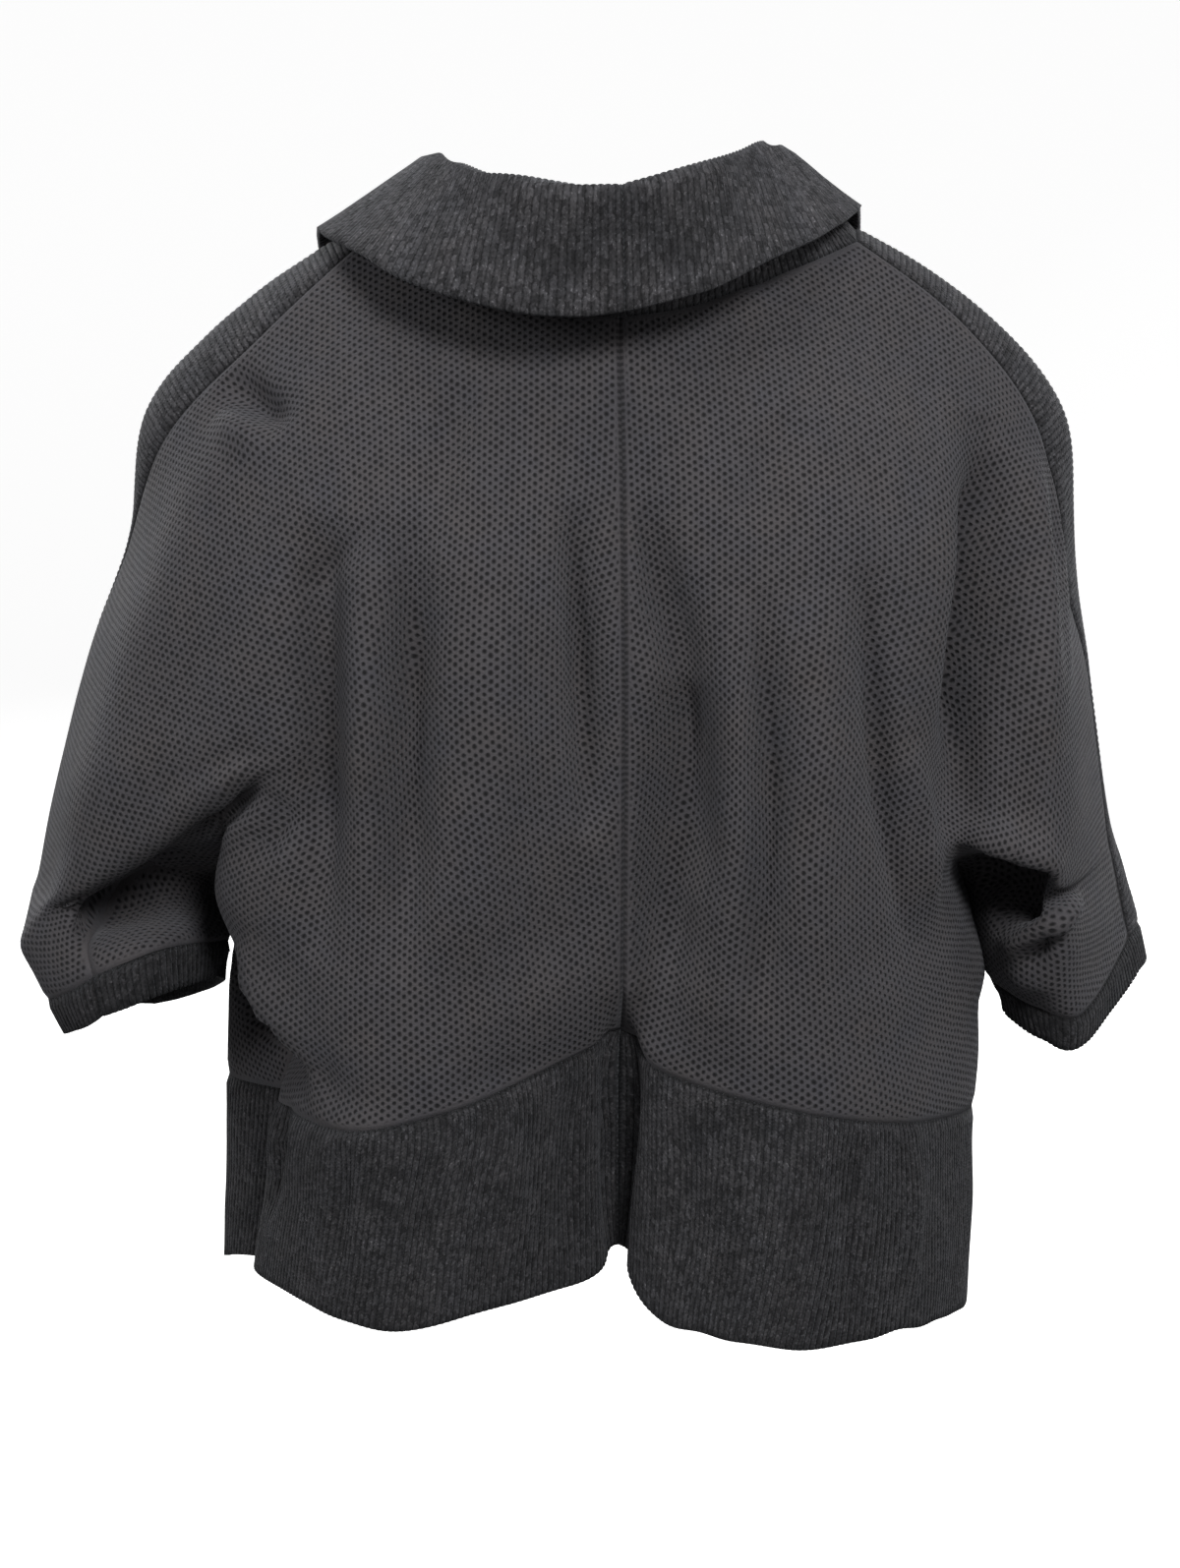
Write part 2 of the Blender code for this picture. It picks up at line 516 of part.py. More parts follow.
def solid(name, tris, wall):
    index, points = {}, []
    faces = []
    for t in tris:
        ids = []
        for p in t:
            k = key(p)
            if k not in index:
                index[k] = len(points)
                points.append(np.array(p, float))
            ids.append(index[k])
        if len(set(ids)) == 3:
            faces.append(ids)
    points = np.array(points)
    norm = np.zeros_like(points)
    for k, i in index.items():
        norm[i] = normals[k] / np.linalg.norm(normals[k])
    edges = {}
    for f in faces:
        for a, b in ((f[0], f[1]), (f[1], f[2]), (f[2], f[0])):
            edges[(a, b)] = f
    rim = [(a, b) for a, b in edges if (b, a) not in edges]
    inward = np.zeros_like(points)
    for a, b in rim:
        along = points[b] - points[a]
        for v in (a, b):
            d = np.cross(norm[v], along)
            inward[v] += d / np.linalg.norm(d)
    touched = {v for e in rim for v in e}
    for v in touched:
        size = np.linalg.norm(inward[v])
        # a straight edge adds to 2, a corner to less, and moves further to clear both edges
        inward[v] *= (SEAM_GAP / 2) * 2 / max(size * size, 0.8)
    outer = points + inward
    inner = outer - norm * wall
    count = len(points)
    verts = np.concatenate([outer, inner]) * MM
    out = [tuple(f) for f in faces]
    out += [tuple(v + count for v in reversed(f)) for f in faces]
    for a, b in rim:
        # both pieces at a seam split this face along the same diagonal
        if key(points[a]) < key(points[b]):
            out += [(b, a, b + count), (a, a + count, b + count)]
        else:
            out += [(b, a, a + count), (b, a + count, b + count)]
    mesh = bpy.data.meshes.new(name)
    mesh.from_pydata([tuple(v) for v in verts], [], out)
    mesh.validate()
    ob = bpy.data.objects.new(name, mesh)
    bpy.context.scene.collection.objects.link(ob)
    mat = bpy.data.materials.new(name + "_knit")
    mat.use_nodes = True
    shader = mat.node_tree.nodes["Principled BSDF"]
    rib = wall != MESH_WALL
    shader.inputs["Base Color"].default_value = (0.030, 0.030, 0.034, 1) if rib else (0.040, 0.040, 0.045, 1)
    shader.inputs["Roughness"].default_value = 0.95
    mesh.materials.append(mat)
    return ob


for name, (tris, wall) in pieces.items():
    solid(name, tris, wall)
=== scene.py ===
"""Shawl collar cardigan: the looks. Honeycomb mesh knit panels and rib knit
bands, collar, cuffs and hem as thin shells on the garment's form, with their
creases, seams, ribs and stitches. x is the wearer's left, y the back, z up;
sizes are in millimetres until a mesh is made. z = 0 is the collar seam at the
centre back."""
import math

import bpy
import numpy as np
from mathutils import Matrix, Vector


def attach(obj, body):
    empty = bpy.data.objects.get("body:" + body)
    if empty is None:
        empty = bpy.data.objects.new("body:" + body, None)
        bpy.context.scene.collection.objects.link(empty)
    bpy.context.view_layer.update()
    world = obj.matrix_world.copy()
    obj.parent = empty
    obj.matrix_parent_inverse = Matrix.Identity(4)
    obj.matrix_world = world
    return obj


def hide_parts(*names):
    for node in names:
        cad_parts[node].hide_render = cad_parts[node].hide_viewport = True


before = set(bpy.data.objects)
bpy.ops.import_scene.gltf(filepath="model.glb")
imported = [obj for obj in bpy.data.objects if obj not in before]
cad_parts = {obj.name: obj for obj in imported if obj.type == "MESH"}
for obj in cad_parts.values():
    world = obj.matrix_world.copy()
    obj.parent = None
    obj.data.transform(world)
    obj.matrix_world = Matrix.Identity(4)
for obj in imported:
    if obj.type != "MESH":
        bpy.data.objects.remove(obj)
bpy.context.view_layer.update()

MM = 0.001
MESH_WALL = 1.8       # honeycomb mesh knit
BAND_WALL = 1.9       # rib knit between the ribs of its two faces
COLLAR_WALL = 2.0
ROLL = 5.5            # radius of the collar where it turns over
ROLL_AT = (-115, -58, 0, 58, 115)      # degrees round the roll
FLAT_AT = (0, 0.16, 0.32, 0.46, 0.58, 0.70, 0.82, 0.92, 1.0)   # across an unfolded part

# ---------------------------------------------------------------- camera
# The photograph's own view: from behind, 4 degrees towards the wearer's left
# and 9 above, 1.8 m away. One pixel is 0.45 mm at the garment's mid-depth.
FRAME_W, FRAME_H = 1200, 1595
AIM = Vector((0, 0, -0.212))
DISTANCE = 1.8
AZIMUTH, ELEVATION = math.radians(176), math.radians(9)
PIXEL = 0.00045
SENSOR = 24.0

away = Vector((math.sin(AZIMUTH) * math.cos(ELEVATION), -math.cos(AZIMUTH) * math.cos(ELEVATION), math.sin(ELEVATION)))
camera = bpy.data.objects.new("camera", bpy.data.cameras.new("camera"))
bpy.context.scene.collection.objects.link(camera)
camera.location = AIM + away * DISTANCE
camera.rotation_euler = (-away).to_track_quat("-Z", "Y").to_euler()
camera.data.sensor_fit = "AUTO"
camera.data.sensor_width = SENSOR
camera.data.lens = SENSOR * (DISTANCE / PIXEL) / FRAME_H
camera.data.shift_x = -17 / FRAME_H
camera.data.clip_start = 0.05
bpy.context.scene.camera = camera

# ---------------------------------------------------------------- sampling
BACK = dict(cb=0.0, by_seam=0.07, blade=0.24, flank=0.38, crest=0.46,
            side=0.53, arm=0.70, ridge=0.86, seam=1.0)
FRONT = dict(seam_f=0.0, arm_f=0.18, inner=0.32, under=0.41, side=0.48,
             flank_f=0.61, chest=0.80, edge=1.0)
UPPER = ("neck", "yoke", "shoulder", "blade", "chest", "low", "fold", "split")
TORSO = ("split", "web", "waist", "low_waist", "band", "hem_mid", "hem")
SLEEVE = ("split", "roll", "elbow", "above_cuff", "cuff", "cuff_edge")
# Rows of faces between one section and the next
UPPER_ROWS = (14, 15, 15, 14, 13, 11, 9)
TORSO_ROWS = (7, 5, 5, 4, 12, 12)
SLEEVE_ROWS = (5, 4, 4, 4, 6)
BACK_BODY, BACK_ARM, FRONT_ARM, FRONT_BODY, BAND_COLS = 56, 40, 34, 44, 16

# ---------------------------------------------------------------- sections
# Centre back seam: how far back and how high at each level
CENTRE_BACK = {
    #            back   up
    "neck":      (76, 3),
    "yoke":      (92, -40),
    "shoulder":  (104, -85),
    "blade":     (110, -130),
    "chest":     (112, -173),
    "low":       (111, -212),
    "fold":      (109, -243),
    "split":     (107, -265),
    "web":       (104, -284),
    "waist":     (100, -298),
    "low_waist": (96, -306),
    "band":      (92, -312),
    "hem_mid":   (84, -361),
    "hem":       (77, -410),
}

# Sections of the back as far as the shoulder band. Each station is given as
# out from the middle, back, up.
BACK_SECTIONS = {
    "left": {
        #            by_seam          blade            flank            crest            side             arm             ridge            seam
        "neck":     ((8, 75, 4),      (34, 67, 8),     (56, 57, 15),    (64, 53, 17),    (71, 49, 20),    (85, 41, 25),   (98, 33, 30),    (110, 25, 35)),
        "yoke":     ((12, 93, -40),   (46, 92, -38),   (78, 86, -34),   (88, 82, -32),   (98, 78, -29),   (118, 66, -20), (138, 50, -12),  (154, 33, -5)),
        "shoulder": ((13, 106, -85),  (56, 110, -86),  (96, 106, -84),  (110, 101, -82), (122, 95, -79),  (150, 80, -72), (178, 54, -62),  (199, 14, -53)),
        "blade":    ((14, 112, -130), (64, 119, -133), (106, 114, -134), (121, 109, -132), (135, 103, -129), (168, 86, -122), (203, 50, -112), (219, -20, -108)),
        "chest":    ((15, 114, -173), (70, 122, -178), (113, 115, -178), (129, 109, -172), (145, 102, -164), (182, 84, -164), (221, 46, -158), (236, -30, -150)),
        "low":      ((15, 114, -211), (74, 123, -218), (117, 112, -208), (138, 104, -188), (155, 97, -181), (192, 80, -190), (236, 46, -205), (250, -36, -200)),
        "fold":     ((16, 112, -243), (76, 124, -250), (124, 110, -240), (155, 91, -199), (175, 81, -207), (205, 62, -225), (246, 33, -251), (262, -38, -254)),
        "split":    ((16, 110, -265), (78, 123, -273), (130, 106, -266), (176, 66, -247), (168, 14, -245), (208, 40, -236), (256, 20, -263), (265, -39, -266)),
    },
    "right": {
        "neck":     ((8, 75, 4),      (34, 67, 8),     (56, 57, 15),    (64, 53, 17),    (71, 49, 20),    (85, 41, 25),   (98, 33, 30),    (110, 25, 35)),
        "yoke":     ((12, 93, -40),   (46, 92, -37),   (78, 85, -32),   (88, 81, -30),   (99, 76, -27),   (122, 59, -18), (143, 43, -9),   (160, 29, -4)),
        "shoulder": ((13, 106, -85),  (58, 109, -85),  (98, 104, -81),  (110, 99, -79),  (122, 94, -76),  (150, 76, -67), (174, 54, -58),  (193, 30, -51)),
        "blade":    ((14, 112, -130), (66, 118, -132), (108, 111, -130), (121, 107, -128), (134, 102, -126), (163, 84, -119), (189, 58, -112), (205, 25, -116)),
        "chest":    ((15, 115, -173), (72, 122, -180), (115, 112, -180), (128, 106, -179), (140, 99, -177), (168, 87, -172), (199, 67, -163), (220, 7, -158)),
        "low":      ((15, 114, -212), (76, 124, -221), (118, 110, -220), (130, 101, -217), (141, 93, -213), (169, 88, -208), (200, 75, -203), (228, 1, -203)),
        "fold":     ((16, 112, -244), (78, 125, -254), (120, 108, -252), (134, 97, -244), (147, 84, -232), (174, 90, -232), (199, 80, -243), (233, -1, -237)),
        "split":    ((16, 110, -266), (78, 124, -277), (126, 98, -274), (152, 64, -256), (162, 12, -254), (177, 42, -246), (199, 66, -252), (236, -3, -250)),
    },
}

# Sections of the back below the underarm, from beside the centre back seam to
# the side seam
TORSO_BACK = {
    "left": {
        #             by_seam          blade            flank            crest            side
        "web":       ((16, 109, -286), (80, 124, -295), (134, 103, -288), (171, 54, -269), (163, 18, -268)),
        "waist":     ((15, 105, -300), (82, 124, -313), (131, 104, -309), (160, 56, -291), (155, 22, -294)),
        "low_waist": ((14, 100, -309), (84, 124, -328), (124, 106, -330), (143, 68, -320), (147, 26, -321)),
        "band":      ((13, 97, -314), (80, 123, -336), (128, 107, -345), (151, 54, -346), (147, 26, -347)),
        "hem_mid":   ((13, 92, -365), (86, 124, -386), (133, 104, -387), (156, 52, -386), (152, 26, -387)),
        "hem":       ((13, 89, -418), (92, 123, -431), (138, 101, -427), (162, 50, -424), (157, 24, -425)),
    },
    "right": {
        "web":       ((16, 109, -286), (80, 125, -296), (132, 94, -293), (158, 54, -278), (163, 14, -276)),
        "waist":     ((15, 105, -300), (82, 125, -314), (135, 91, -315), (164, 48, -305), (168, 14, -300)),
        "low_waist": ((14, 101, -312), (84, 125, -328), (137, 89, -334), (165, 46, -332), (169, 13, -330)),
        "band":      ((13, 99, -322), (84, 125, -339), (137, 88, -351), (163, 44, -357), (168, 12, -358)),
        "hem_mid":   ((12, 104, -372), (80, 128, -390), (138, 87, -398), (163, 43, -403), (168, 11, -404)),
        "hem":       ((9, 112, -427), (70, 130, -440), (137, 86, -445), (161, 42, -448), (167, 9, -450)),
    },
}

# Sections of the back half of each sleeve, from the underarm seam outwards
SLEEVE_BACK = {
    "left": {
        #              side             arm              ridge            seam
        "roll":       ((205, 13, -248), (228, 33, -248), (263, 12, -272), (264, -39, -276)),
        "elbow":      ((227, 21, -259), (243, 31, -263), (267, 5, -283), (261, -38, -286)),
        "above_cuff": ((236, 36, -274), (249, 31, -283), (262, 5, -295), (256, -36, -296)),
        "cuff":       ((233, 46, -289), (246, 32, -300), (256, 7, -307), (249, -34, -305)),
        "cuff_edge":  ((229, 44, -308), (240, 31, -317), (248, 8, -323), (241, -32, -321)),
    },
    "right": {
        "roll":       ((173, 23, -277), (181, 66, -271), (201, 71, -261), (239, -5, -262)),
        "elbow":      ((175, 24, -287), (184, 62, -287), (206, 66, -279), (241, -5, -271)),
        "above_cuff": ((177, 24, -295), (188, 56, -299), (209, 59, -296), (243, -5, -280)),
        "cuff":       ((179, 23, -303), (191, 50, -309), (213, 53, -311), (245, -5, -288)),
        "cuff_edge":  ((181, 22, -317), (195, 46, -324), (213, 49, -326), (250, -8, -304)),
    },
}

# The shoulder band: its middle line and its front seam, neck to cuff
BAND_LINES = {
    "left": {
        #              middle            front seam
        "neck":       ((112, 0, 40),     (112, -25, 32)),
        "yoke":       ((160, 2, 9),      (152, -26, -3)),
        "shoulder":   ((206, -10, -40),  (192, -36, -47)),
        "blade":      ((214, -44, -106), (200, -64, -108)),
        "chest":      ((225, -54, -150), (208, -74, -150)),
        "low":        ((237, -60, -198), (217, -80, -198)),
        "fold":       ((249, -62, -244), (231, -79, -237)),
        "split":      ((253, -62, -261), (237, -77, -254)),
        "roll":       ((251, -60, -272), (234, -72, -268)),
        "elbow":      ((248, -58, -284), (229, -68, -282)),
        "above_cuff": ((242, -55, -296), (222, -63, -296)),
        "cuff":       ((235, -51, -306), (214, -58, -306)),
        "cuff_edge":  ((229, -49, -322), (210, -55, -323)),
    },
    "right": {
        "neck":       ((112, 0, 40),     (112, -25, 32)),
        "yoke":       ((165, 2, 7),      (158, -24, -5)),
        "shoulder":   ((207, 2, -41),    (196, -27, -50)),
        "blade":      ((215, -4, -108),  (208, -33, -106)),
        "chest":      ((223, -19, -155), (215, -43, -154)),
        "low":        ((229, -24, -200), (221, -48, -198)),
        "fold":       ((236, -26, -230), (227, -50, -222)),
        "split":      ((240, -27, -243), (231, -52, -234)),
        "roll":       ((244, -28, -254), (235, -52, -245)),
        "elbow":      ((247, -28, -264), (238, -52, -255)),
        "above_cuff": ((250, -28, -273), (241, -52, -265)),
        "cuff":       ((253, -29, -283), (243, -52, -275)),
        "cuff_edge":  ((257, -29, -300), (247, -52, -291)),
    },
}

# Sections of the front half of each sleeve, band seam to underarm seam
SLEEVE_FRONT = {
    "left": {
        #              arm_f             inner             under
        "split":      ((217, -82, -254), (192, -66, -252), (176, -28, -247)),
        "roll":       ((206, -71, -264), (181, -44, -261), (184, -4, -258)),
        "elbow":      ((195, -59, -274), (176, -18, -267), (196, 20, -264)),
        "above_cuff": ((187, -47, -285), (175, 1, -273), (202, 42, -270)),
        "cuff":       ((182, -37, -295), (176, 13, -280), (205, 51, -277)),
        "cuff_edge":  ((182, -35, -312), (178, 13, -297), (204, 49, -297)),
    },
    "right": {
        "split":      ((217, -75, -237), (198, -70, -243), (178, -38, -248)),
        "roll":       ((215, -71, -245), (193, -58, -253), (178, -22, -264)),
        "elbow":      ((215, -68, -255), (193, -50, -263), (180, -14, -274)),
        "above_cuff": ((216, -65, -265), (194, -44, -273), (181, -10, -284)),
        "cuff":       ((217, -62, -276), (195, -39, -284), (182, -7, -295)),
        "cuff_edge":  ((220, -59, -291), (199, -37, -299), (186, -7, -310)),
    },
}

# Sections of the front below the underarm, side seam to front edge
TORSO_FRONT = {
    "left": {
        #             flank_f           chest
        "split":     ((164, -26, -254), (142, -82, -266)),
        "web":       ((168, -16, -272), (141, -80, -284)),
        "waist":     ((173, -12, -296), (140, -79, -304)),
        "low_waist": ((174, -12, -322), (139, -78, -328)),
        "band":      ((175, -12, -348), (138, -78, -351)),
        "hem_mid":   ((176, -12, -390), (138, -77, -394)),
        "hem":       ((178, -12, -434), (139, -76, -438)),
    },
    "right": {
        "split":     ((159, -30, -260), (138, -82, -268)),
        "web":       ((164, -28, -280), (138, -81, -286)),
        "waist":     ((169, -27, -302), (138, -80, -306)),
        "low_waist": ((170, -26, -330), (138, -79, -331)),
        "band":      ((169, -27, -358), (137, -78, -356)),
        "hem_mid":   ((169, -28, -403), (137, -76, -400)),
        "hem":       ((168, -29, -449), (137, -75, -447)),
    },
}

# The front edge seam, which the collar and its band are sewn to
FRONT_EDGE = {
    #            out   back   up
    "neck":      (103, -46, 14),
    "yoke":      (97, -78, -34),
    "shoulder":  (90, -99, -84),
    "blade":     (83, -110, -130),
    "chest":     (77, -114, -176),
    "low":       (73, -115, -214),
    "fold":      (71, -114, -246),
    "split":     (70, -113, -270),
    "web":       (69, -112, -289),
    "waist":     (69, -111, -308),
    "low_waist": (68, -110, -332),
    "band":      (68, -109, -354),
    "hem_mid":   (67, -107, -398),
    "hem":       (66, -105, -444),
}
# How far the front hollows above the underarm, and how far the hollow is arched
ARMPIT_DIP = {"chest": 5.0, "low": 22.0, "fold": 56.0}
ARMPIT_ARCH = 0.25

# The collar across its width at stations along its seam: the roll line, where
# it turns over, and the free edge
COLLAR = {
    "left": {
        #              roll line         free edge
        "cb":        ((0, 94, 58),      (0, 113, 7)),
        "blade":     ((31, 88, 60),     (38, 112, 6)),
        "side":      ((60, 60, 65),     (79, 95, 15)),
        "ridge":     ((71, 34, 69),     (108, 62, 27)),
        "seam":      ((74, 16, 70),     (124, 28, 36)),
        "middle":    ((74, -10, 66),    (128, -6, 38)),
        "seam_f":    ((71, -34, 55),    (128, -39, 25)),
        "neck_edge": ((67, -58, 36),    (127, -66, 2)),
        "yoke":      ((60, -88, -12),   (120, -96, -42)),
        "shoulder":  ((52, -110, -68),  (113, -114, -92)),
        "blade_f":   ((45, -122, -124), (99, -126, -135)),
        "chest":     ((39, -127, -176), (70, -133, -178)),
        "low":       ((36, -127, -216), (40, -134, -215)),
        "fold":      ((35, -124, -247), (32, -127, -247)),
        "split":     ((34, -123, -271), (29, -125, -271)),
        "band":      ((34, -118, -355), (29, -120, -355)),
        "hem":       ((34, -112, -446), (29, -114, -446)),
    },
    "right": {
        "cb":        ((0, 94, 58),      (0, 113, 7)),
        "blade":     ((30, 84, 66),     (34, 108, 15)),
        "side":      ((54, 58, 72),     (66, 86, 29)),
        "ridge":     ((67, 32, 76),     (90, 60, 38)),
        "seam":      ((73, 14, 73),     (108, 27, 46)),
        "middle":    ((74, -10, 68),    (114, -5, 47)),
        "seam_f":    ((71, -34, 56),    (119, -41, 31)),
        "neck_edge": ((67, -58, 36),    (122, -69, 5)),
        "yoke":      ((60, -88, -12),   (120, -96, -42)),
        "shoulder":  ((52, -110, -68),  (113, -114, -92)),
        "blade_f":   ((45, -122, -124), (99, -126, -135)),
        "chest":     ((39, -127, -176), (70, -133, -178)),
        "low":       ((36, -127, -216), (40, -134, -215)),
        "fold":      ((35, -124, -247), (32, -127, -247)),
        "split":     ((34, -123, -271), (29, -125, -271)),
        "band":      ((34, -118, -355), (29, -120, -355)),
        "hem":       ((34, -112, -446), (29, -114, -446)),
    },
}


# ---------------------------------------------------------------- curves
def smooth(knots, values, at):
    """A smooth curve through values at the knots, read at each place in at."""
    t = np.asarray(knots, float)
    p = np.asarray(values, float)
    at = np.asarray(at, float)
    h = np.diff(t)
    shape = (-1,) + (1,) * (p.ndim - 1)
    d = np.diff(p, axis=0) / h.reshape(shape)
    m = np.empty_like(p)
    if len(t) > 2:
        w0, w1 = h[1:].reshape(shape), h[:-1].reshape(shape)
        m[1:-1] = (w0 * d[:-1] + w1 * d[1:]) / (w0 + w1)
        m[0] = 1.5 * d[0] - 0.5 * m[1]
        m[-1] = 1.5 * d[-1] - 0.5 * m[-2]
    else:
        m[:] = d[0]
    k = np.clip(np.searchsorted(t, at, side="right") - 1, 0, len(h) - 1)
    hk = h[k].reshape(shape)
    s = ((at - t[k]) / h[k]).reshape(shape)
    return ((2 * s**3 - 3 * s**2 + 1) * p[k] + (s**3 - 2 * s**2 + s) * hk * m[k]
            + (-2 * s**3 + 3 * s**2) * p[k + 1] + (s**3 - s**2) * hk * m[k + 1])


def down(sections, steps):
    """Rows of points lofted through the sections, steps rows to each interval."""
    s = np.asarray(sections, float)
    chord = np.linalg.norm(np.diff(s, axis=0), axis=2).mean(axis=1)
    knots = np.concatenate([[0], np.cumsum(np.maximum(chord, 1.0))])
    at = [knots[i] + (knots[i + 1] - knots[i]) * k / n
          for i, n in enumerate(steps) for k in range(n)] + [knots[-1]]
    return smooth(knots, s, at)


# ---------------------------------------------------------------- the net
def front_upper(side, level):
    """Stations of a front section above the underarm, band seam to front edge:
    a quarter of an oval, with a hollow towards the armpit low down."""
    start = np.array(BAND_LINES[side][level][1], float)
    end = np.array(FRONT_EDGE[level], float)
    points = []
    for name, f in FRONT.items():
        turn = f * math.pi / 2
        x = end[0] + (start[0] - end[0]) * math.cos(turn) ** 0.9
        y = start[1] + (end[1] - start[1]) * math.sin(turn) ** 0.9
        z = start[2] + (end[2] - start[2]) * f
        if level == "neck":       # the short straight top of the front
            x, y, z = start + (end - start) * f
        dip = ARMPIT_DIP.get(level, 0.0) * math.exp(-((f - FRONT["side"]) / 0.11) ** 2)
        points.append((x, y + dip, z + ARMPIT_ARCH * dip))
    return points


def net(side):
    """One side's outer surface as grids of points: rows run down, columns run
    from the centre back round to the front edge."""
    cols = list(BACK.values())
    fcols = list(FRONT.values())
    k_side = list(BACK).index("side")
    f_side = list(FRONT).index("side")
    back_t = np.linspace(0, BACK["side"], BACK_BODY + 1)
    back_s = np.linspace(BACK["side"], 1, BACK_ARM + 1)
    front_s = np.linspace(0, FRONT["side"], FRONT_ARM + 1)
    front_t = np.linspace(FRONT["side"], 1, FRONT_BODY + 1)

    up = [[(0,) + CENTRE_BACK[k]] + list(BACK_SECTIONS[side][k]) for k in UPPER]
    torso = [[(0,) + CENTRE_BACK[k]] + list(TORSO_BACK[side][k]) for k in TORSO[1:]]
    sleeve = [list(SLEEVE_BACK[side][k]) for k in SLEEVE[1:]]
    rows_t = [smooth(cols, r, back_t) for r in up[:-1]]
    rows_s = [smooth(cols, r, back_s) for r in up[:-1]]
    rows_t += [smooth(cols[:k_side + 1], r[:k_side + 1], back_t) for r in [up[-1]] + torso]
    rows_s += [smooth(cols[k_side:], r, back_s) for r in [up[-1][k_side:]] + sleeve]
    body_back = down(rows_t, UPPER_ROWS + TORSO_ROWS)
    arm_back = down(rows_s, UPPER_ROWS + SLEEVE_ROWS)

    fup = [front_upper(side, k) for k in UPPER[:-1]]
    point = up[-1][k_side]
    fin = [BAND_LINES[side]["split"][1]] + list(SLEEVE_FRONT[side]["split"]) + [point]
    fout = [point] + list(TORSO_FRONT[side]["split"]) + [FRONT_EDGE["split"]]
    frows_s = [smooth(fcols, r, front_s) for r in fup] + [smooth(fcols[:f_side + 1], fin, front_s)]
    frows_t = [smooth(fcols, r, front_t) for r in fup] + [smooth(fcols[f_side:], fout, front_t)]
    for k, r in zip(SLEEVE[1:], sleeve):
        frows_s.append(smooth(fcols[:f_side + 1], [BAND_LINES[side][k][1]] + list(SLEEVE_FRONT[side][k]) + [r[0]], front_s))
    for k, r in zip(TORSO[1:], torso):
        frows_t.append(smooth(fcols[f_side:], [r[-1]] + list(TORSO_FRONT[side][k]) + [FRONT_EDGE[k]], front_t))
    arm_front = down(frows_s, UPPER_ROWS + SLEEVE_ROWS)
    body_front = down(frows_t, UPPER_ROWS + TORSO_ROWS)

    n = sum(UPPER_ROWS)
    body_back[:, 0] = down([[(0,) + CENTRE_BACK[k]] for k in UPPER + TORSO[1:]], UPPER_ROWS + TORSO_ROWS)[:, 0]
    for a, b in ((body_back[:n + 1, -1], arm_back[:n + 1, 0]), (body_front[:n + 1, 0], arm_front[:n + 1, -1])):
        a[:] = b[:] = (a + b) / 2
    body_front[n:, 0] = body_back[n:, -1]
    arm_front[n:, -1] = arm_back[n:, 0]
    lines = [BAND_LINES[side][k] for k in UPPER + SLEEVE[1:]]
    mid = down([[m] for m, s in lines], UPPER_ROWS + SLEEVE_ROWS)[:, 0]
    arm_front[:, 0] = down([[s] for m, s in lines], UPPER_ROWS + SLEEVE_ROWS)[:, 0]
    band = smooth((0, 1, 2), np.array([arm_back[:, -1], mid, arm_front[:, 0]]), np.linspace(0, 2, BAND_COLS + 1))
    return dict(body_back=body_back, arm_back=arm_back, band=band.transpose(1, 0, 2), arm_front=arm_front,
                body_front=body_front, n=n, cuff=n + sum(SLEEVE_ROWS[:SLEEVE.index("cuff")]),
                hem=n + sum(TORSO_ROWS[:TORSO.index("band")]))


# ---------------------------------------------------------------- grids
def unit(v):
    return v / np.maximum(np.linalg.norm(v, axis=-1, keepdims=True), 1e-9)


def lengths(grid, axis):
    """Mean running length along an axis of a grid of points."""
    step = np.linalg.norm(np.diff(grid, axis=axis), axis=2).mean(axis=1 - axis)
    return np.concatenate([[0], np.cumsum(step)])


def resample(grid, axis, at):
    """The grid read at places along one axis, as shares of its mean length."""
    run = lengths(grid, axis)
    g = smooth(run / run[-1], grid if axis == 0 else grid.transpose(1, 0, 2), at)
    return g if axis == 0 else g.transpose(1, 0, 2)


def quads_of(index):
    return np.stack([index[:-1, :-1], index[:-1, 1:], index[1:, 1:], index[1:, :-1]], axis=-1).reshape(-1, 4)


def normals_of(points, quads):
    cross = np.cross(points[quads[:, 2]] - points[quads[:, 0]], points[quads[:, 3]] - points[quads[:, 1]])
    n = np.zeros_like(points)
    for k in range(4):
        for c in range(3):
            n[:, c] += np.bincount(quads[:, k], cross[:, c], len(points))
    return unit(n)


def area_of(points, quads):
    cross = np.cross(points[quads[:, 2]] - points[quads[:, 0]], points[quads[:, 3]] - points[quads[:, 1]])
    return np.linalg.norm(cross, axis=1).sum() / 2


def rim_of(quads):
    """Directed edges that only one face has."""
    e = np.concatenate([quads[:, [k, (k + 1) % 4]] for k in range(4)])
    key = np.sort(e, axis=1)
    code = key[:, 0].astype(np.int64) * (int(quads.max()) + 1) + key[:, 1]
    _, first, count = np.unique(code, return_index=True, return_counts=True)
    return e[first[count == 1]]


def nearest(points, line):
    """Distance from each point to the nearest point of a line."""
    best = np.full(len(points), 1e9)
    for k in range(0, len(line), 64):
        d = np.linalg.norm(points[:, None] - line[None, k:k + 64], axis=2).min(axis=1)
        best = np.minimum(best, d)
    return best


def waves(points, seed, size):
    """Soft unevenness from a few crossing waves, between about -1 and 1."""
    rng = np.random.default_rng(seed)
    total = np.zeros(len(points))
    for k in range(9):
        way = unit(rng.normal(size=3))
        total += np.sin(points @ way * (2 * math.pi / (size * rng.uniform(0.6, 1.6))) + rng.uniform(0, 6.28))
    return total / 4


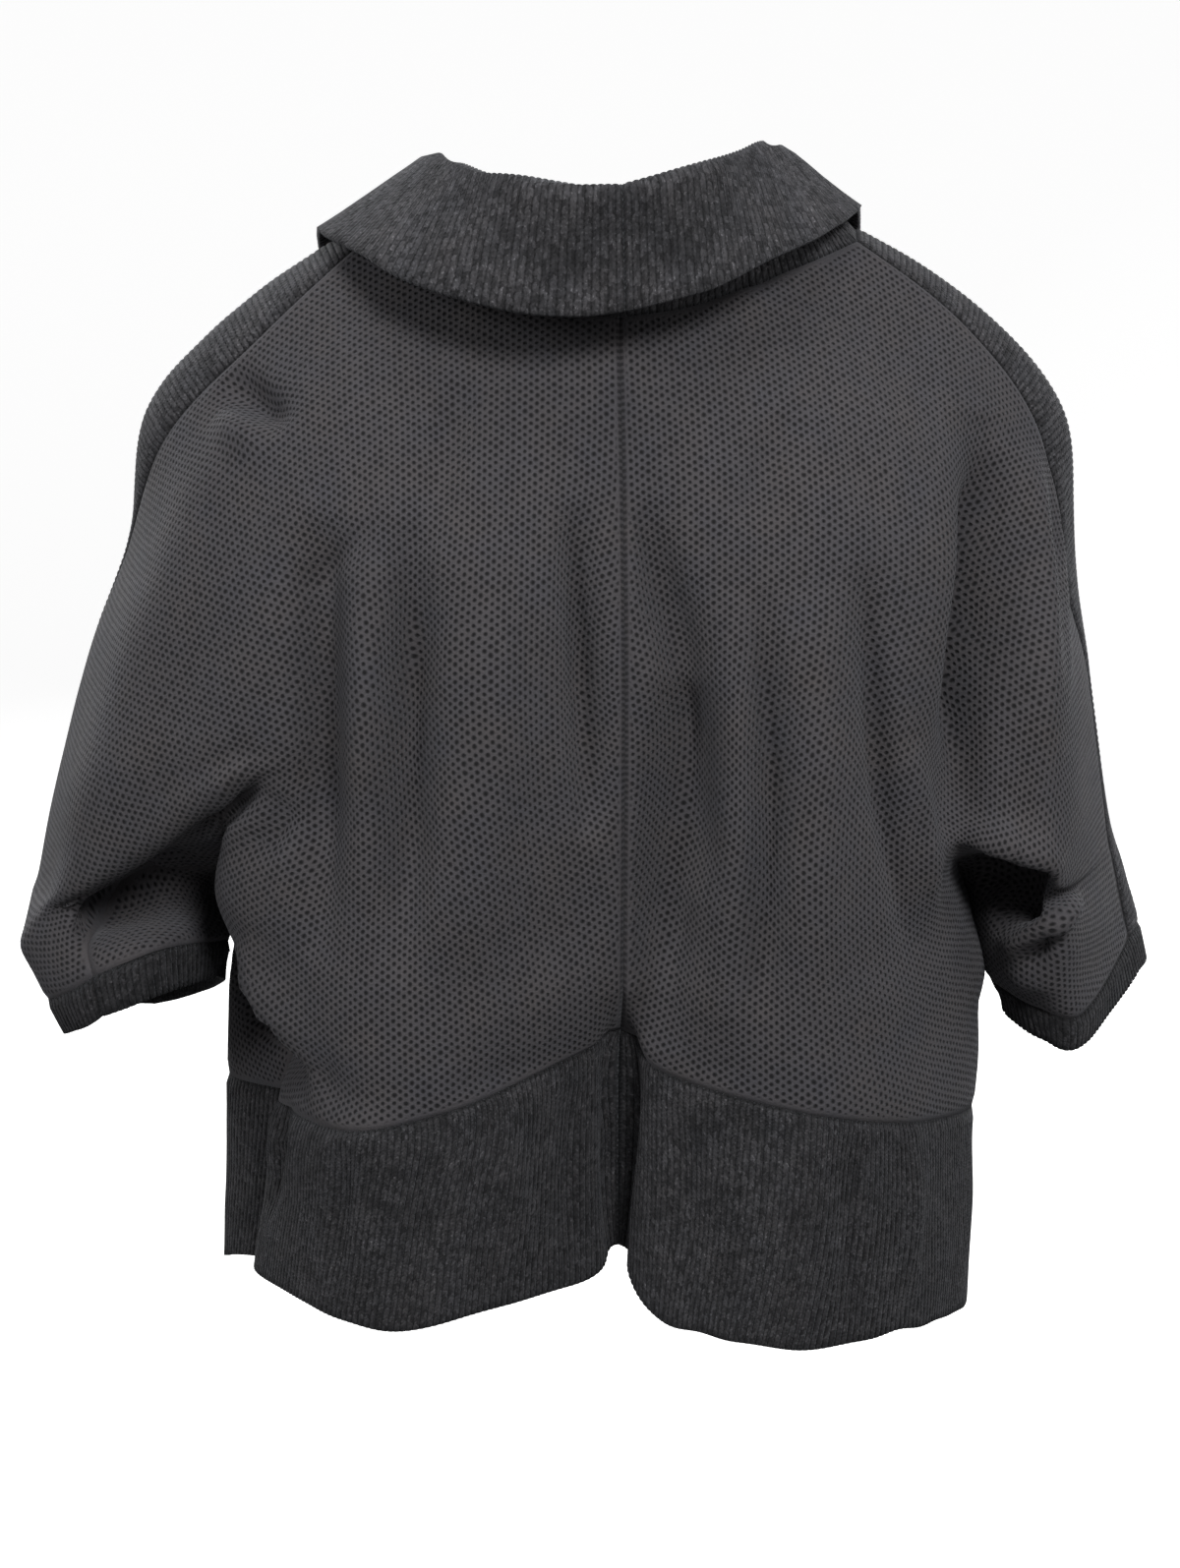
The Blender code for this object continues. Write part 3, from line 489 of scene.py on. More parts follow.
# ---------------------------------------------------------------- creases
# Soft troughs and ridges that the large sections don't hold, given in
# the garment's own millimetres. Each row is the face it lies on, its height,
# out of the cloth or into it, a half width above the line and one below it,
# and its path as out from the middle and up from the neck.
CREASES = {
    "left": (
        # the lip over the folded elbow, the shade under it and the hook at its end
        ("back", 5, 14, 3, ((255, -265), (220, -240), (190, -215), (155, -195))),
        ("back", -15, 3, 14, ((245, -265), (215, -250), (190, -230))),
        ("back", -8, 3, 5, ((185, -225), (170, -210), (155, -195))),
        ("back", 4, 6, 6, ((175, -225), (155, -205))),
        ("back", -8, 5, 5, ((147, -200), (150, -215), (168, -228))),
        # long folds that hang from the blade
        ("back", -19, 10, 10, ((130, -80), (132, -175), (133, -275))),
        ("back", 7, 9, 9, ((110, -95), (113, -250))),
        ("back", -18, 9, 9, ((90, -80), (92, -175), (98, -280))),
        ("back", 8, 16, 16, ((57, -85), (57, -175), (70, -280))),
        ("back", -14, 7, 7, ((21, -75), (14, -220))),
        # the dimple at the shoulder
        ("back", -14, 7, 7, ((170, -25), (142, -43))),
        ("back", 6, 8, 8, ((172, -38), (150, -56))),
        # a fine slanting line, and the pull from under the collar
        ("back", -3, 4, 7, ((142, -110), (100, -77))),
        ("back", -6, 9, 9, ((68, -20), (87, -95))),
        # the hem band
        ("back", 5, 12, 12, ((50, -330), (50, -410))),
        ("back", -5, 8, 8, ((84, -350), (86, -420))),
        ("back", -5, 6, 6, ((122, -350), (127, -420))),
        ("back", -4, 6, 6, ((22, -330), (25, -410))),
        # the edge that hangs over the gap beside the body, and the gap
        ("back", 4, 6, 6, ((138, -315), (130, -340))),
        ("back", 11, 14, 3, ((168, -268), (150, -300), (130, -323))),
        ("back", -24, 3, 9, ((173, -285), (156, -315), (137, -326))),
        ("back", -6, 7, 7, ((150, -337), (158, -400))),
        # the front hangs in the same way
        ("front", -6, 8, 8, ((84, -120), (80, -250), (78, -330))),
        ("front", 4, 10, 10, ((102, -150), (102, -280))),
        ("front", -6, 6, 6, ((130, -190), (126, -300))),
        ("front", -8, 9, 9, ((160, -90), (182, -190))),
        ("front", 5, 12, 3, ((226, -236), (190, -217), (165, -205))),
        ("front", -9, 3, 12, ((222, -244), (180, -220))),
        ("front", -4, 8, 8, ((90, -370), (90, -430))),
        ("front", 4, 11, 11, ((120, -370), (120, -430))),
    ),
    "right": (
        ("back", 4, 9, 9, ((200, -65), (202, -120), (195, -178))),
        # the broad hollow beside the centre seam
        ("back", -16, 9, 9, ((6, -75), (27, -160), (30, -245))),
        ("back", -19, 12, 12, ((24, -150), (18, -240), (14, -315))),
        # long folds that hang from the blade
        ("back", 7, 8, 8, ((47, -110), (47, -215), (42, -305))),
        ("back", -11, 7, 7, ((58, -110), (62, -205), (55, -320))),
        ("back", 7, 14, 14, ((82, -110), (83, -300))),
        ("back", -11, 7, 7, ((105, -100), (112, -200), (128, -275))),
        ("back", 6, 7, 7, ((126, -180), (140, -267))),
        ("back", -5, 7, 7, ((70, -37), (52, -86))),
        # the deep valley between the body and the sleeve
        ("back", -24, 15, 15, ((164, -40), (163, -110), (152, -180), (147, -225))),
        ("back", -20, 7, 7, ((170, -55), (160, -135), (149, -215))),
        ("back", 9, 10, 10, ((188, -55), (187, -130), (185, -215))),
        # the roll of the sleeve and the hollow in it
        ("back", -19, 6, 9, ((166, -250), (191, -243))),
        ("back", -17, 9, 7, ((169, -264), (189, -254))),
        ("back", 6, 8, 3, ((142, -222), (165, -227), (198, -242))),
        ("back", 9, 4, 5, ((210, -255), (187, -269), (172, -284))),
        ("back", -10, 5, 5, ((195, -268), (183, -286))),
        ("back", 4, 6, 6, ((175, -295), (200, -294))),
        # the hem band
        ("back", -5, 7, 7, ((26, -340), (26, -425))),
        ("back", 5, 10, 10, ((50, -345), (52, -430))),
        ("back", -5, 7, 7, ((98, -345), (98, -435))),
        ("back", 4, 8, 8, ((128, -350), (128, -435))),
        # the front hangs in the same way
        ("front", -6, 8, 8, ((82, -140), (80, -330))),
        ("front", 4, 11, 11, ((98, -150), (95, -270))),
        ("front", -6, 6, 6, ((120, -170), (122, -290))),
        ("front", -7, 9, 9, ((150, -80), (172, -180))),
        ("front", 4, 12, 3, ((215, -230), (178, -210))),
        ("front", -4, 8, 8, ((110, -370), (110, -430))),
        ("front", 4, 10, 10, ((75, -370), (76, -430))),
    ),
    # the dip of the hem bands where their centre edges meet
    "centre": (
        ("seam", -12, 9, 9, ((0, -288), (0, -430))),
    ),
}


def on_cloth(points, face, path):
    """A path of out and up, laid on the cloth as seen from its face. The centre
    seam's own line is used as it is, so that both halves move alike."""
    if face == "seam":
        back, level = np.array(list(CENTRE_BACK.values()), float)[::-1].T
        return np.array([(out, np.interp(up, level, back), up) for out, up in path])
    sign = 1 if face == "back" else -1
    laid = []
    for out, up in path:
        flat = np.hypot(points[:, 0] - out, points[:, 2] - up)
        near = np.flatnonzero(flat < flat.min() + 5)
        depth = sign * points[near, 1]
        near = near[depth > depth.max() - 12]
        weight = 1 / (flat[near] + 0.5)
        laid.append((out, (points[near, 1] * weight).sum() / weight.sum(), up))
    return np.array(laid)


def creased(points, side):
    """How far each point moves out of the cloth."""
    move = np.zeros(len(points))
    for face, height, above, below, path in CREASES[side]:
        path = np.array(path, float)
        run = np.concatenate([[0], np.cumsum(np.linalg.norm(np.diff(path, axis=0), axis=1))])
        step = np.linspace(0, 1, 13)
        if len(path) > 2:
            path = smooth(run / run[-1], path, step)
        else:
            path = path[0] + step[:, None] * (path[1] - path[0])
        path = on_cloth(points, face, path)
        low, high = path.min(axis=0) - 3 * max(above, below), path.max(axis=0) + 3 * max(above, below)
        at = np.flatnonzero(((points > low) & (points < high)).all(axis=1))
        if not len(at):
            continue
        # walk the path in short straight steps
        p = points[at]
        best, along, over = np.full(len(p), 1e9), np.zeros(len(p)), np.zeros(len(p))
        for k, (a, b) in enumerate(zip(path, path[1:])):
            t = np.clip((p - a) @ (b - a) / max(float((b - a) @ (b - a)), 1e-6), 0, 1)
            v = p - (a + t[:, None] * (b - a))
            d = np.linalg.norm(v, axis=1)
            near = d < best
            best[near], along[near], over[near] = d[near], (k + t[near]) / (len(path) - 1), v[near, 2]
        # soft change from one width to the other across the line
        side_of = np.clip(over / 1.5, -1, 1) / 2 + 0.5
        width = below + (above - below) * side_of
        # strongest before the middle, and running out at both ends
        fade = np.sin(math.pi * np.clip(along, 0, 1) ** 0.85) ** 0.9
        move[at] += height * np.exp(-(best / width) ** 2) * fade
    return move


# ---------------------------------------------------------------- pieces
def link(ob):
    bpy.context.scene.collection.objects.link(ob)
    return ob


def thin(count, keep=()):
    """Every third line of a grid, with the first, the last and those to keep."""
    return sorted({0, count - 1, *keep, *range(0, count, 3)} - {k + d for k in keep for d in (-1, 1)} - {count - 2})


def filled(coarse, rows, cols, shape):
    """Values on the thinned lines of a grid, read on all of its lines."""
    g = smooth(rows, coarse, np.arange(shape[0]))
    return smooth(cols, g.transpose(1, 0, 2), np.arange(shape[1])).transpose(1, 0, 2)


def lay_flat(grids, indexes, n, points, quads, upright):
    """The flat pattern of a panel: unwrapped at true size in millimetres with
    the line of points upright standing vertical, as the knit's columns do.
    It is unwrapped on thinned grids, then read on the whole ones."""
    lines = [(thin(len(g), (n,)), thin(g.shape[1])) for g in grids]
    use = np.unique(np.concatenate([index[np.ix_(*at)].ravel() for index, at in zip(indexes, lines)]))
    small = np.full(len(points), -1)
    small[use] = np.arange(len(use))
    faces = np.concatenate([quads_of(small[index[np.ix_(*at)]]) for index, at in zip(indexes, lines)])
    mesh = bpy.data.meshes.new("flat")
    mesh.from_pydata((points[use] * MM).tolist(), [], faces.tolist())
    ob = link(bpy.data.objects.new("flat", mesh))
    mesh.uv_layers.new(name="flat")
    for other in bpy.context.selected_objects:
        other.select_set(False)
    bpy.context.view_layer.objects.active = ob
    ob.select_set(True)
    bpy.ops.object.mode_set(mode="EDIT")
    bpy.ops.mesh.select_all(action="SELECT")
    bpy.ops.uv.unwrap(method="MINIMUM_STRETCH", margin=0, fill_holes=False, iterations=40)
    bpy.ops.object.mode_set(mode="OBJECT")
    got = np.zeros(len(mesh.loops) * 2)
    mesh.uv_layers.active.data.foreach_get("uv", got)
    loops = np.zeros(len(mesh.loops), int)
    mesh.loops.foreach_get("vertex_index", loops)
    coarse = np.zeros((len(use), 2))
    coarse[loops] = got.reshape(-1, 2)
    bpy.data.objects.remove(ob)
    bpy.data.meshes.remove(mesh)
    uv = np.zeros((len(points), 2))
    for index, (rows, cols) in zip(indexes, lines):
        uv[index] = filled(coarse[small[index[np.ix_(rows, cols)]]], rows, cols, index.shape)
    a, b = uv[quads[:, 2]] - uv[quads[:, 0]], uv[quads[:, 3]] - uv[quads[:, 1]]
    flat = ((a[:, 0] * b[:, 1] - a[:, 1] * b[:, 0]) / 2).sum()
    uv *= math.sqrt(area_of(points, quads) / abs(flat))
    if flat < 0:
        uv[:, 0] *= -1
    line = uv[upright]
    way = unit(line[-1] - line[0])
    turn = np.array([[-way[1], way[0]], [-way[0], -way[1]]])     # way goes to (0, -1)
    uv = uv @ turn.T
    return uv - uv[upright].mean(axis=0) * (1, 0) - (0, uv[upright[0], 1])


def piece(name, points, normal, quads, flip, wall, uv, relief=None, back_relief=None, attributes=None, material=None):
    """A thin shell: an outer face at the points, an inner face a wall behind
    it along the normals, and a rim between them. The wearer's right side is
    shaped as a left one and flipped here."""
    if flip:
        points, normal, quads = points * (-1, 1, 1), normal * (-1, 1, 1), quads[:, ::-1]
    outer = points if relief is None else points + normal * relief[:, None]
    inner = points - normal * wall
    if back_relief is not None:
        inner = inner - normal * back_relief[:, None]
    count = len(points)
    rim = rim_of(quads)
    a, b = rim[:, 0], rim[:, 1]
    faces = np.concatenate([quads, quads[:, ::-1] + count, np.stack([b, a, a + count, b + count], axis=1)])
    verts = np.concatenate([outer, inner]) * MM
    mesh = bpy.data.meshes.new(name)
    mesh.vertices.add(len(verts))
    mesh.vertices.foreach_set("co", verts.ravel())
    mesh.loops.add(faces.size)
    mesh.loops.foreach_set("vertex_index", faces.ravel())
    mesh.polygons.add(len(faces))
    mesh.polygons.foreach_set("loop_start", np.arange(0, faces.size, 4))
    mesh.update(calc_edges=True)
    mesh.polygons.foreach_set("use_smooth", np.ones(len(faces), bool))
    layer = mesh.uv_layers.new(name="Knit")
    both = np.concatenate([uv, uv]) * 0.01
    layer.data.foreach_set("uv", both[faces.ravel()].ravel())
    for key, value in (attributes or {}).items():
        attr = mesh.attributes.new(key, "FLOAT", "POINT")
        attr.data.foreach_set("value", np.concatenate([value, value]))
    mesh.materials.append(material)
    mesh.update()
    ob = link(bpy.data.objects.new(name, mesh))
    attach(ob, "root")
    return ob


def tuck(edge, depth=0.9, reach=1.7):
    """The cloth turns in where it is sewn."""
    return -depth * np.exp(-(edge / reach) ** 2)


# ---------------------------------------------------------------- materials
class Graph:
    """Short names for the nodes of one material."""

    def __init__(self, name):
        self.material = bpy.data.materials.new(name)
        self.material.use_nodes = True
        self.tree = self.material.node_tree
        self.shader = self.tree.nodes["Principled BSDF"]

    def put(self, socket, value):
        if isinstance(value, bpy.types.NodeSocket):
            self.tree.links.new(value, socket)
        else:
            socket.default_value = value

    def math(self, operation, *values, clamp=False):
        node = self.tree.nodes.new("ShaderNodeMath")
        node.operation, node.use_clamp = operation, clamp
        for socket, value in zip(node.inputs, values):
            self.put(socket, value)
        return node.outputs[0]

    def vector(self, operation, *values, scale=None):
        node = self.tree.nodes.new("ShaderNodeVectorMath")
        node.operation = operation
        for socket, value in zip(node.inputs, values):
            self.put(socket, value)
        if scale is not None:
            self.put(node.inputs["Scale"], scale)
        return node.outputs["Value"] if operation in ("LENGTH", "DOT_PRODUCT", "DISTANCE") else node.outputs[0]

    def noise(self, at, scale, detail=2.0, roughness=0.5, colour=False):
        node = self.tree.nodes.new("ShaderNodeTexNoise")
        self.put(node.inputs["Vector"], at)
        self.put(node.inputs["Scale"], scale)
        self.put(node.inputs["Detail"], detail)
        self.put(node.inputs["Roughness"], roughness)
        return node.outputs["Color" if colour else "Fac"]

    def white(self, at):
        node = self.tree.nodes.new("ShaderNodeTexWhiteNoise")
        self.put(node.inputs["Vector"], at)
        return node.outputs["Value"]

    def ramp(self, value, low, high, to_low=0.0, to_high=1.0):
        """A smooth step from to_low at low to to_high at high."""
        node = self.tree.nodes.new("ShaderNodeMapRange")
        node.interpolation_type = "SMOOTHSTEP"
        for key, v in (("Value", value), ("From Min", low), ("From Max", high), ("To Min", to_low), ("To Max", to_high)):
            self.put(node.inputs[key], v)
        return node.outputs["Result"]

    def uv(self):
        """The knit's own coordinates in millimetres."""
        node = self.tree.nodes.new("ShaderNodeUVMap")
        node.uv_map = "Knit"
        return self.vector("SCALE", node.outputs[0], scale=100.0)

    def split(self, v):
        node = self.tree.nodes.new("ShaderNodeSeparateXYZ")
        self.put(node.inputs[0], v)
        return node.outputs[0], node.outputs[1]

    def join(self, x, y):
        node = self.tree.nodes.new("ShaderNodeCombineXYZ")
        self.put(node.inputs[0], x)
        self.put(node.inputs[1], y)
        return node.outputs[0]

    def attribute(self, name):
        node = self.tree.nodes.new("ShaderNodeAttribute")
        node.attribute_name = name
        return node.outputs["Fac"]

    def shade(self, colour, tint, brightness, height, size=1.0):
        """Colour times brightness, a little tint, and relief of height in mm."""
        mix = self.tree.nodes.new("ShaderNodeMix")
        mix.data_type = "RGBA"
        self.put(mix.inputs["Factor"], tint)
        self.put(mix.inputs[6], colour[0])
        self.put(mix.inputs[7], colour[1])
        lit = self.vector("SCALE", mix.outputs[2], scale=brightness)
        self.put(self.shader.inputs["Base Color"], lit)
        bump = self.tree.nodes.new("ShaderNodeBump")
        bump.inputs["Distance"].default_value = size * MM
        bump.inputs["Strength"].default_value = 1.0
        self.put(bump.inputs["Height"], height)
        self.put(self.shader.inputs["Normal"], bump.outputs[0])
        self.shader.inputs["Specular IOR Level"].default_value = 0.18
        self.shader.inputs["Sheen Weight"].default_value = 0.10
        self.shader.inputs["Sheen Roughness"].default_value = 0.55
        self.shader.inputs["Sheen Tint"].default_value = (0.75, 0.78, 0.85, 1)
        return self.material


# The mixed yarn: dark slate and a warmer grey, as linear colour
MESH_YARN = ((0.047, 0.048, 0.058, 1), (0.067, 0.059, 0.057, 1))
RIB_YARN = ((0.036, 0.037, 0.042, 1), (0.045, 0.042, 0.043, 1))
EYELET_ROW = 5.0      # between eyelets along one row; the next row lies between
EYELET_COLUMN = 3.6   # between eyelets down one column
EYELET = (0.25, 1.25) # radius of the middle in full painted shade, and where the yarn is full
RIB = {"collar": 3.3, "shoulder_band": 3.1, "cuff": 3.3, "hem": 2.8}
RIB_HEIGHT = {"collar": 0.50, "shoulder_band": 0.45, "cuff": 0.50, "hem": 0.42}
STITCH = 2.2          # one stitch along a rib
# the cuffs and hem are set darker than the collar and shoulder band: partly their own tone, partly painted shade where
# they hang low
# brightness, strength of the painted shade in the dots of the grooves, cloudiness
RIB_LOOK = {"collar": (0.86, 0.25, 0.20), "shoulder_band": (0.84, 0.50, 0.10), "cuff": (0.42, 0.35, 0.12), "hem": (0.56, 0.30, 0.16)}


def heather(g, p, strength):
    """Brightness of the mixed yarn: fine flecks, soft patches, wide drift."""
    fleck = g.noise(p, 0.85, 3.0, 0.6)
    patch = g.noise(p, 0.22, 1.0)
    drift = g.noise(p, 0.03, 1.0)
    total = g.math("ADD", g.math("MULTIPLY", fleck, 1.1 * strength), g.math("MULTIPLY", patch, 0.40 * strength))
    total = g.math("ADD", total, g.math("MULTIPLY", drift, 0.35 * strength))
    return g.math("ADD", total, 1.0 - 0.925 * strength), fleck


def mesh_knit(name):
    g = Graph(name)
    p = g.uv()
    stray = g.vector("SUBTRACT", g.noise(p, 0.16, 1.0, colour=True), (0.5, 0.5, 0.5))
    q = g.vector("ADD", p, g.vector("MULTIPLY", stray, (1.1, 1.1, 0.0)))
    a = g.vector("DIVIDE", q, (EYELET_ROW, EYELET_COLUMN, 1.0))
    dark = []
    for shift in (0.0, 0.5):
        c = g.vector("ADD", a, (shift, shift, 0.0))
        f = g.vector("SUBTRACT", g.vector("FRACTION", c), (0.5, 0.5, 0.0))
        d = g.vector("LENGTH", g.vector("MULTIPLY", f, (EYELET_ROW, EYELET_COLUMN * 0.92, 0.0)))
        chance = g.white(g.vector("ADD", g.vector("FLOOR", c), (shift, 0.0, 0.0)))
        dark.append(g.math("MULTIPLY", d, g.math("ADD", g.math("MULTIPLY", chance, 0.30), 0.85)))
    hole = g.ramp(g.math("MINIMUM", *dark), EYELET[0], EYELET[1], 1.0, 0.0)
    border = g.ramp(g.attribute("seam"), 1.6, 3.4)
    hole = g.math("MULTIPLY", hole, border)
    yarn, fleck = heather(g, p, 0.58)
    # painted shade: each eyelet darkened for the shaded inside of the garment seen through it
    bright = g.math("MULTIPLY", yarn, g.math("SUBTRACT", 1.17, g.math("MULTIPLY", hole, 1.0)))
    # the stitched line of the centre back seam
    x, y = g.split(p)
    dash = g.ramp(g.math("ABSOLUTE", g.math("SUBTRACT", g.math("FRACT", g.math("DIVIDE", y, 3.0)), 0.5)), 0.12, 0.34)
    line = g.math("MULTIPLY", g.ramp(g.attribute("centre"), 1.0, 2.2, 1.0, 0.0), g.math("ADD", 0.30, g.math("MULTIPLY", dash, 0.70)))
    bright = g.math("MULTIPLY", bright, g.math("SUBTRACT", 1.0, g.math("MULTIPLY", line, 0.70)))
    height = g.math("SUBTRACT", g.math("MULTIPLY", fleck, 0.35), g.math("MULTIPLY", hole, 0.85))
    g.put(g.shader.inputs["Roughness"], g.math("ADD", 0.78, g.math("MULTIPLY", fleck, 0.2)))
    return g.shade(MESH_YARN, g.noise(p, 0.035, 4.0, 0.6), bright, height)


def rib_knit(name, pitch, tone, dot_shade, cloudy):
    """Ribs run along v; u crosses them, a rib to each pitch."""
    g = Graph(name)
    p = g.uv()
    x, y = g.split(p)
    stray = g.math("MULTIPLY", g.math("SUBTRACT", g.noise(p, 0.35, 1.0), 0.5), 0.9)
    ribs = g.math("DIVIDE", g.math("ADD", x, stray), pitch)
    r = g.math("SUBTRACT", g.math("FRACT", ribs), 0.5)              # 0 on the crest
    off = g.math("ABSOLUTE", r)
    groove = g.ramp(off, 0.26, 0.5)
    # stitches: a chevron on the crest, and a dot of painted shade between stitches in the groove
    odd = g.math("MULTIPLY", g.math("FLOOR", g.math("ADD", ribs, 0.5)), 0.37)
    along = g.math("ADD", g.math("DIVIDE", y, STITCH), odd)
    dot = g.ramp(g.math("ABSOLUTE", g.math("SUBTRACT", g.math("FRACT", along), 0.5)), 0.08, 0.36, 1.0, 0.0)
    dots = g.math("MULTIPLY", g.ramp(off, 0.30, 0.48), dot)
    chevron = g.math("SINE", g.math("MULTIPLY", g.math("ADD", g.math("DIVIDE", y, STITCH * 0.8), g.math("MULTIPLY", off, 1.5)), 2 * math.pi))
    yarn, fleck = heather(g, p, 1.35)
    # each stitch, two to a rib, takes the mixed yarn a little differently
    cell = g.join(g.math("FLOOR", g.math("MULTIPLY", ribs, 2.0)), g.math("FLOOR", g.math("ADD", along, g.math("MULTIPLY", off, 0.8))))
    yarn = g.math("MULTIPLY", yarn, g.math("ADD", 0.46, g.math("MULTIPLY", g.white(cell), 1.12)))
    # painted shade in the grooves between the ribs and in the dots between stitches
    bright = g.math("MULTIPLY", g.math("MULTIPLY", yarn, tone), g.math("SUBTRACT", 1.20, g.math("ADD", g.math("MULTIPLY", groove, 0.55), g.math("MULTIPLY", dots, dot_shade))))
    spark = g.ramp(g.noise(p, 0.9, 1.0), 0.58, 0.74, 0.0, 1.2)      # pale flecks of yarn
    bright = g.math("MULTIPLY", bright, g.math("ADD", 1.0, spark))
    cloud = g.ramp(g.noise(p, 0.055, 3.0, 0.6), 0.34, 0.66, 1 - cloudy, 1 + cloudy)
    bright = g.math("MULTIPLY", bright, cloud)
    # painted shade: darker in the middle of the collar at the back, where it sags in
    bright = g.math("MULTIPLY", bright, g.math("SUBTRACT", 1.0, g.attribute("collar_shade")))
    sewn = g.ramp(g.attribute("seam"), 0.7, 1.7, 0.5, 0.0)           # painted shade: the dark shadow line along a sewn edge
    bright = g.math("MULTIPLY", bright, g.math("SUBTRACT", 1.0, sewn))
    height = g.math("ADD", g.math("MULTIPLY", chevron, 0.07), g.math("MULTIPLY", fleck, 0.45))
    height = g.math("SUBTRACT", height, g.math("ADD", g.math("MULTIPLY", groove, 0.25), g.math("MULTIPLY", dots, 0.35)))
    g.put(g.shader.inputs["Roughness"], g.math("ADD", 0.80, g.math("MULTIPLY", fleck, 0.18)))
    return g.shade(RIB_YARN, g.noise(p, 0.05, 4.0, 0.6), bright, height)


# ---------------------------------------------------------------- building
GRIDS = ("body_back", "arm_back", "band", "arm_front", "body_front")


def close_underarm(g):
    """Under the right arm the sleeve lies against the body for a little way."""
    n = g["n"]
    for key, rows, way in (("body_back", np.s_[n:, -30:], 1), ("body_front", np.s_[n:, :26], 1),
                           ("arm_back", np.s_[n:, :26], -1), ("arm_front", np.s_[n:, -26:], -1)):
        p = g[key][rows]
        gap = np.interp(-p[..., 2], (252, 262, 277, 290, 298, 310), (0, 7.0, 12.0, 12.6, 11.0, 0)) - 0.3
        w = np.exp(-((p[..., 1] - 16) / 42) ** 2 - ((p[..., 0] - (165 if way > 0 else 175)) / 15) ** 2)
        p[..., 0] += way * w * np.maximum(gap, 0) * (0.42 if way > 0 else 0.58)


def dressed(nets):
    """Presses the creases into both sides and adds normals to each grid as
    three more columns. Pieces that are sewn together share them along the
    seam, so that their edges meet."""
    made = {}
    for side, g in nets.items():
        n, count, index = g["n"], 0, {}
        for key in GRIDS:
            shape = g[key].shape[:2]
            index[key] = np.arange(count, count + shape[0] * shape[1]).reshape(shape)
            count += shape[0] * shape[1]
        bb, ab, bd, af, bf = (index[key] for key in GRIDS)
        ab[:n + 1, 0] = bb[:n + 1, -1]
        bd[:, 0] = ab[:, -1]
        af[:, 0] = bd[:, -1]
        bf[:n + 1, 0] = af[:n + 1, -1]
        af[n:, -1] = ab[n:, 0]
        bf[n:, 0] = bb[n:, -1]
        points = np.zeros((count, 3))
        for key in GRIDS:
            points[index[key]] = g[key]
        made[side] = [index, points, np.concatenate([quads_of(index[key]) for key in GRIDS])]

    def joined():
        """Normals of both sides, the same on the seam at the centre back."""
        out = {side: normals_of(points, quads) for side, (index, points, quads) in made.items()}
        at = {side: made[side][0]["body_back"][:, 0] for side in made}
        middle = unit(out["left"][at["left"]] + out["right"][at["right"]] * (-1, 1, 1))
        out["left"][at["left"]] = middle
        out["right"][at["right"]] = middle * (-1, 1, 1)
        return out

    normals = joined()
    for side, (index, points, quads) in made.items():
        edge = np.concatenate([index["body_back"][0], index["arm_back"][0], index["band"][0], index["arm_front"][0],
                               index["body_front"][0], index["body_front"][:, -1]])
        away = np.clip(nearest(points, points[edge]) / 10, 0, 1)
        at_back = points[:, 1] > 20
        middle = np.where(at_back, np.clip(points[:, 0] / 9, 0, 1), 1)
        fade = (away * away * (3 - 2 * away)) * (middle * middle * (3 - 2 * middle))
        centre = creased(points, "centre") * away
        points += normals[side] * (creased(points, side) * fade)[:, None]
        points += normals[side] * centre[:, None] * np.where(points[:, :1] == 0, (0, 1, 1), 1)
        for key in GRIDS:
            nets[side][key] = points[index[key]]
    normals = joined()
    for side, g in nets.items():
        index, normal = made[side][0], normals[side]
        seam, run, collar, at = collar_grid(side, g)
        line = np.concatenate([index["body_back"][0], index["arm_back"][0][1:], index["band"][0][1:],
                               index["arm_front"][0][1:], index["body_front"][0][1:-1], index["body_front"][:, -1]])
        ci = np.arange(collar.shape[0] * collar.shape[1]).reshape(collar.shape[:2])
        cn = normals_of(collar.reshape(-1, 3), quads_of(ci)[:, ::-1]).reshape(collar.shape)
        both = unit(normal[line] + np.stack([np.interp(run, at, cn[0, :, c]) for c in range(3)], axis=1))
        normal[line] = both
        cn[0] = unit(np.stack([np.interp(at, run, both[:, c]) for c in range(3)], axis=1))
        cn[:, 0] = unit(cn[:, 0] * (0, 1, 1))
        for key in GRIDS:
            g[key] = np.concatenate([g[key], normal[index[key]]], axis=2)
        g["collar"] = np.concatenate([collar, cn], axis=2)


def resample6(grid, axis, at):
    """As resample, for grids that carry normals."""
    run = lengths(grid[..., :3], axis)
    g = smooth(run / run[-1], grid if axis == 0 else grid.transpose(1, 0, 2), at)
    return g if axis == 0 else g.transpose(1, 0, 2)


